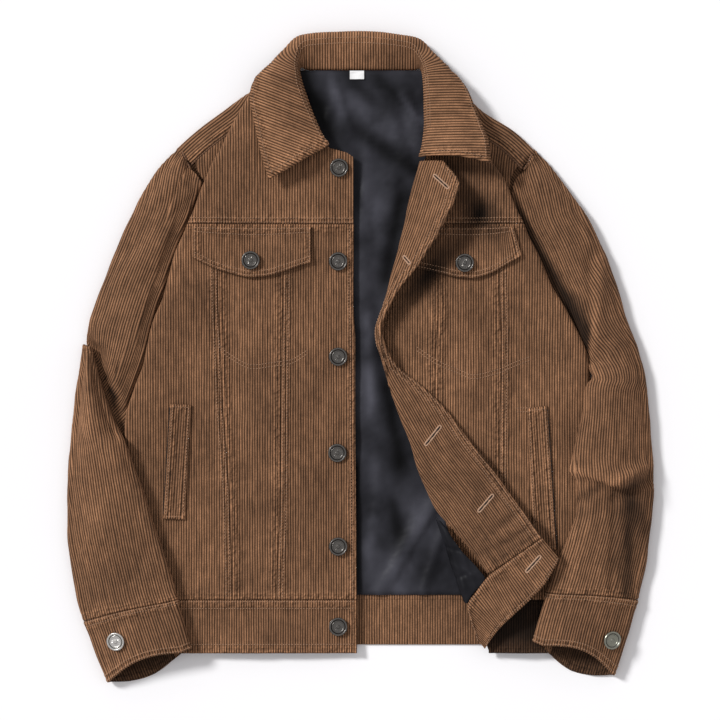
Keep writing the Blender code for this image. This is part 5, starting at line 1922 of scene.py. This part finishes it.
def build_buttonholes():
    """Each buttonhole: a ring of short stitches round a slit of painted shade, on the cloth under
    it.
    """
    stitches, slits = [], []
    for row, x0, y0, x1, y1 in zip(*BUTTONHOLES.values()):
        piece = MADE["left_band_end" if row == 4 else "left_facing"]
        flat = piece.outer[:, 1:-1].reshape(-1, 3)
        normals = piece.normal[:, 1:-1].reshape(-1, 3)

        def cloth_at(t):
            away = (flat[:, 0] - x0 - t * (x1 - x0)) ** 2 + (flat[:, 1] - y0 - t * (y1 - y0)) ** 2
            best = np.argsort(away + 0.02 * (40 - flat[:, 2]) ** 2)[:12]
            return flat[best].mean(0), normals[best].mean(0)

        (start, _), (middle, up), (stop, _) = map(cloth_at, (0, 0.5, 1))

        def on_line(t):
            lift = (4 * middle - 2 * start - 2 * stop) * t * (1 - t) * (0, 0, 1)
            return start + t * (stop - start) + lift + up * 0.2

        up = up / np.linalg.norm(up)
        along = stop - start
        long = np.linalg.norm(along)
        along /= long
        side = np.cross(up, along)

        def stitch(base, way):
            return base + way * 1.5 + up * 0.15, way, up, 2.0

        count = math.ceil(long / 0.75)
        for i in range(count + 1):
            stitches += [stitch(on_line(i / count), side * sign) for sign in (-1, 1)]
        for a in np.linspace(-math.pi / 2, math.pi / 2, 7):
            for end, facing in ((start, -1), (stop, 1)):
                stitches.append(stitch(end, along * facing * math.cos(a) + side * math.sin(a)))
        # the slit is dark strips of painted shade
        for t in (0.17, 0.5, 0.83):
            slits.append((on_line(t) + up * 0.1, along, up, long * 0.36))
    thread_mesh("buttonhole_stitches", stitches, "hole_thread", 0.6)
    thread_mesh("buttonhole_slit_shade", slits, "hole", 0.85)


# ---------------------------------------------------------------- the buttons

BUTTON_FACE = table(
    "row r z",
    (0, 0, 3.0),
    (1, 1.6, 3.1),
    (2, 2.3, 2.55),
    (3, 5.6, 2.45),
    (4, 6.2, 3.0),
    (5, 6.9, 3.05),
    (6, 7.5, 2.5),
    (7, 8.2, 3.2),
    (8, 8.9, 3.75),
    (9, 9.7, 3.7),
    (10, 10.3, 3.1),
    (11, 10.4, 2.2),
    (12, 10.0, 0.7),
    (13, 8.6, 0.1),
    (14, 0, 0.1),
)


def build_button(node, face, rim):
    """A shank button over its solid: a raised rim, a ring and a ray pattern, all generic."""
    rings, count = 56, 40
    at = np.linspace(0, len(BUTTON_FACE["row"]) - 1, rings + 1)
    rs = np.interp(at, BUTTON_FACE["row"], BUTTON_FACE["r"])
    zs = read(BUTTON_FACE, "z", at)
    a = np.linspace(0, 2 * math.pi, count + 1)[:-1]
    z = zs[:, None] + 0.45 * np.cos(12 * a) * (ridge((rs - 4) / 1.2) * (zs > 1))[:, None]
    x = rs[:, None] * np.cos(a)
    y = rs[:, None] * np.sin(a)
    points = np.stack([x, y, z], -1).reshape(-1, 3)
    # the first and the last ring are the two poles, so one point of each is used
    faces = []
    for i in range(rings):
        for j, k in zip(range(count), [*range(1, count), 0]):
            here, there = i * count, (i + 1) * count
            corners = (here + j, there + j, there + k, here + k)
            if i == 0:
                corners = (0, there + j, there + k)
            elif i == rings - 1:
                corners = (here + j, there, here + k)
            faces.append(corners)
    mesh = bpy.data.meshes.new(node)
    mesh.from_pydata(points * MM, [], faces)
    mesh.materials.append(COATS[face])
    mesh.materials.append(COATS[rim])
    for poly in mesh.polygons:
        r = math.hypot(poly.center.x, poly.center.y) / MM
        if 7.0 < r < 8.1 or 2.0 < r < 2.5:
            poly.material_index = 1
    mesh.shade_smooth()
    keep_used(mesh)
    made = bpy.data.objects.new(node + "_face", mesh)
    bpy.context.scene.collection.objects.link(made)
    # it lies on the foot of its solid, square to the solid's thinnest way
    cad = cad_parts[node]
    points = np.array([cad.matrix_world @ v.co for v in cad.data.vertices])
    centre = points.mean(0)
    normal = np.linalg.svd(points - centre, full_matrices=False)[2][2]
    normal = normal * (1 if normal[2] > 0 else -1)
    foot = ((points - centre) @ normal).min()
    made.rotation_euler = Vector(normal).to_track_quat("Z", "Y").to_euler()
    made.location = centre + normal * foot
    finish_piece(made, (node,))


def build_buttons():
    """The cuffs' buttons are silver, one of them older, and the rest are dark."""
    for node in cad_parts:
        if node.endswith("cuff_button"):
            face = "silver" if node.startswith("right") else "old_silver"
            build_button(node, face, "silver_rim")
        elif "button" in node:
            build_button(node, "dark_metal", "dark_rim")


# ---------------------------------------------------------------- light and camera

AMBIENT = 0.6
KEY = 3.0
LIGHT_WAY = (0.68, -0.44, -0.585)
FLOOR_Z = -0.0002
LENS = 135
SENSOR = 36
PICTURE_WIDE = 0.8064
CLOTH_TOP = 0.018


def build_studio():
    """The floor, a pale sky, a sun from the upper left and the camera overhead."""
    scene = bpy.context.scene
    bpy.ops.mesh.primitive_plane_add(size=6, location=(0, 0, FLOOR_Z))
    floor = bpy.context.object
    floor.name = "floor"
    floor.data.materials.append(plain_coat("floor", (0.88, 0.875, 0.885), 1.0))
    scene.view_settings.view_transform = "Standard"
    world = scene.world or bpy.data.worlds.new("studio")
    scene.world = world
    world.use_nodes = True
    sky = world.node_tree.nodes["Background"]
    sky.inputs["Color"].default_value = (1.0, 0.985, 1.0, 1)
    sky.inputs["Strength"].default_value = AMBIENT
    lamp = bpy.data.lights.new("key", "SUN")
    lamp.energy = KEY
    lamp.angle = math.radians(12)
    holder = bpy.data.objects.new("key", lamp)
    holder.rotation_euler = (-Vector(LIGHT_WAY)).to_track_quat("Z", "Y").to_euler()
    scene.collection.objects.link(holder)
    camera = bpy.data.cameras.new("camera")
    camera.lens = LENS
    camera.sensor_width = SENSOR
    camera.clip_end = 20
    holder = bpy.data.objects.new("camera", camera)
    scene.collection.objects.link(holder)
    holder.location = (-0.00056, -0.003, PICTURE_WIDE * LENS / SENSOR + CLOTH_TOP)
    scene.camera = holder


build_studio()
for one in SIDES:
    build_front(one)
build_flap("right", 0)
build_flap("left", -9)
for one in WELTS:
    build_welt(one)
build_turned_front()
build_back_lining()
build_back()
build_back_yoke()
build_sleeves()
build_collar()
build_label()
for one in SIDES:
    stitch_front(one)
stitch_collar_and_facing()
stitch_bags()
build_seam_rolls()
build_buttonholes()
build_buttons()
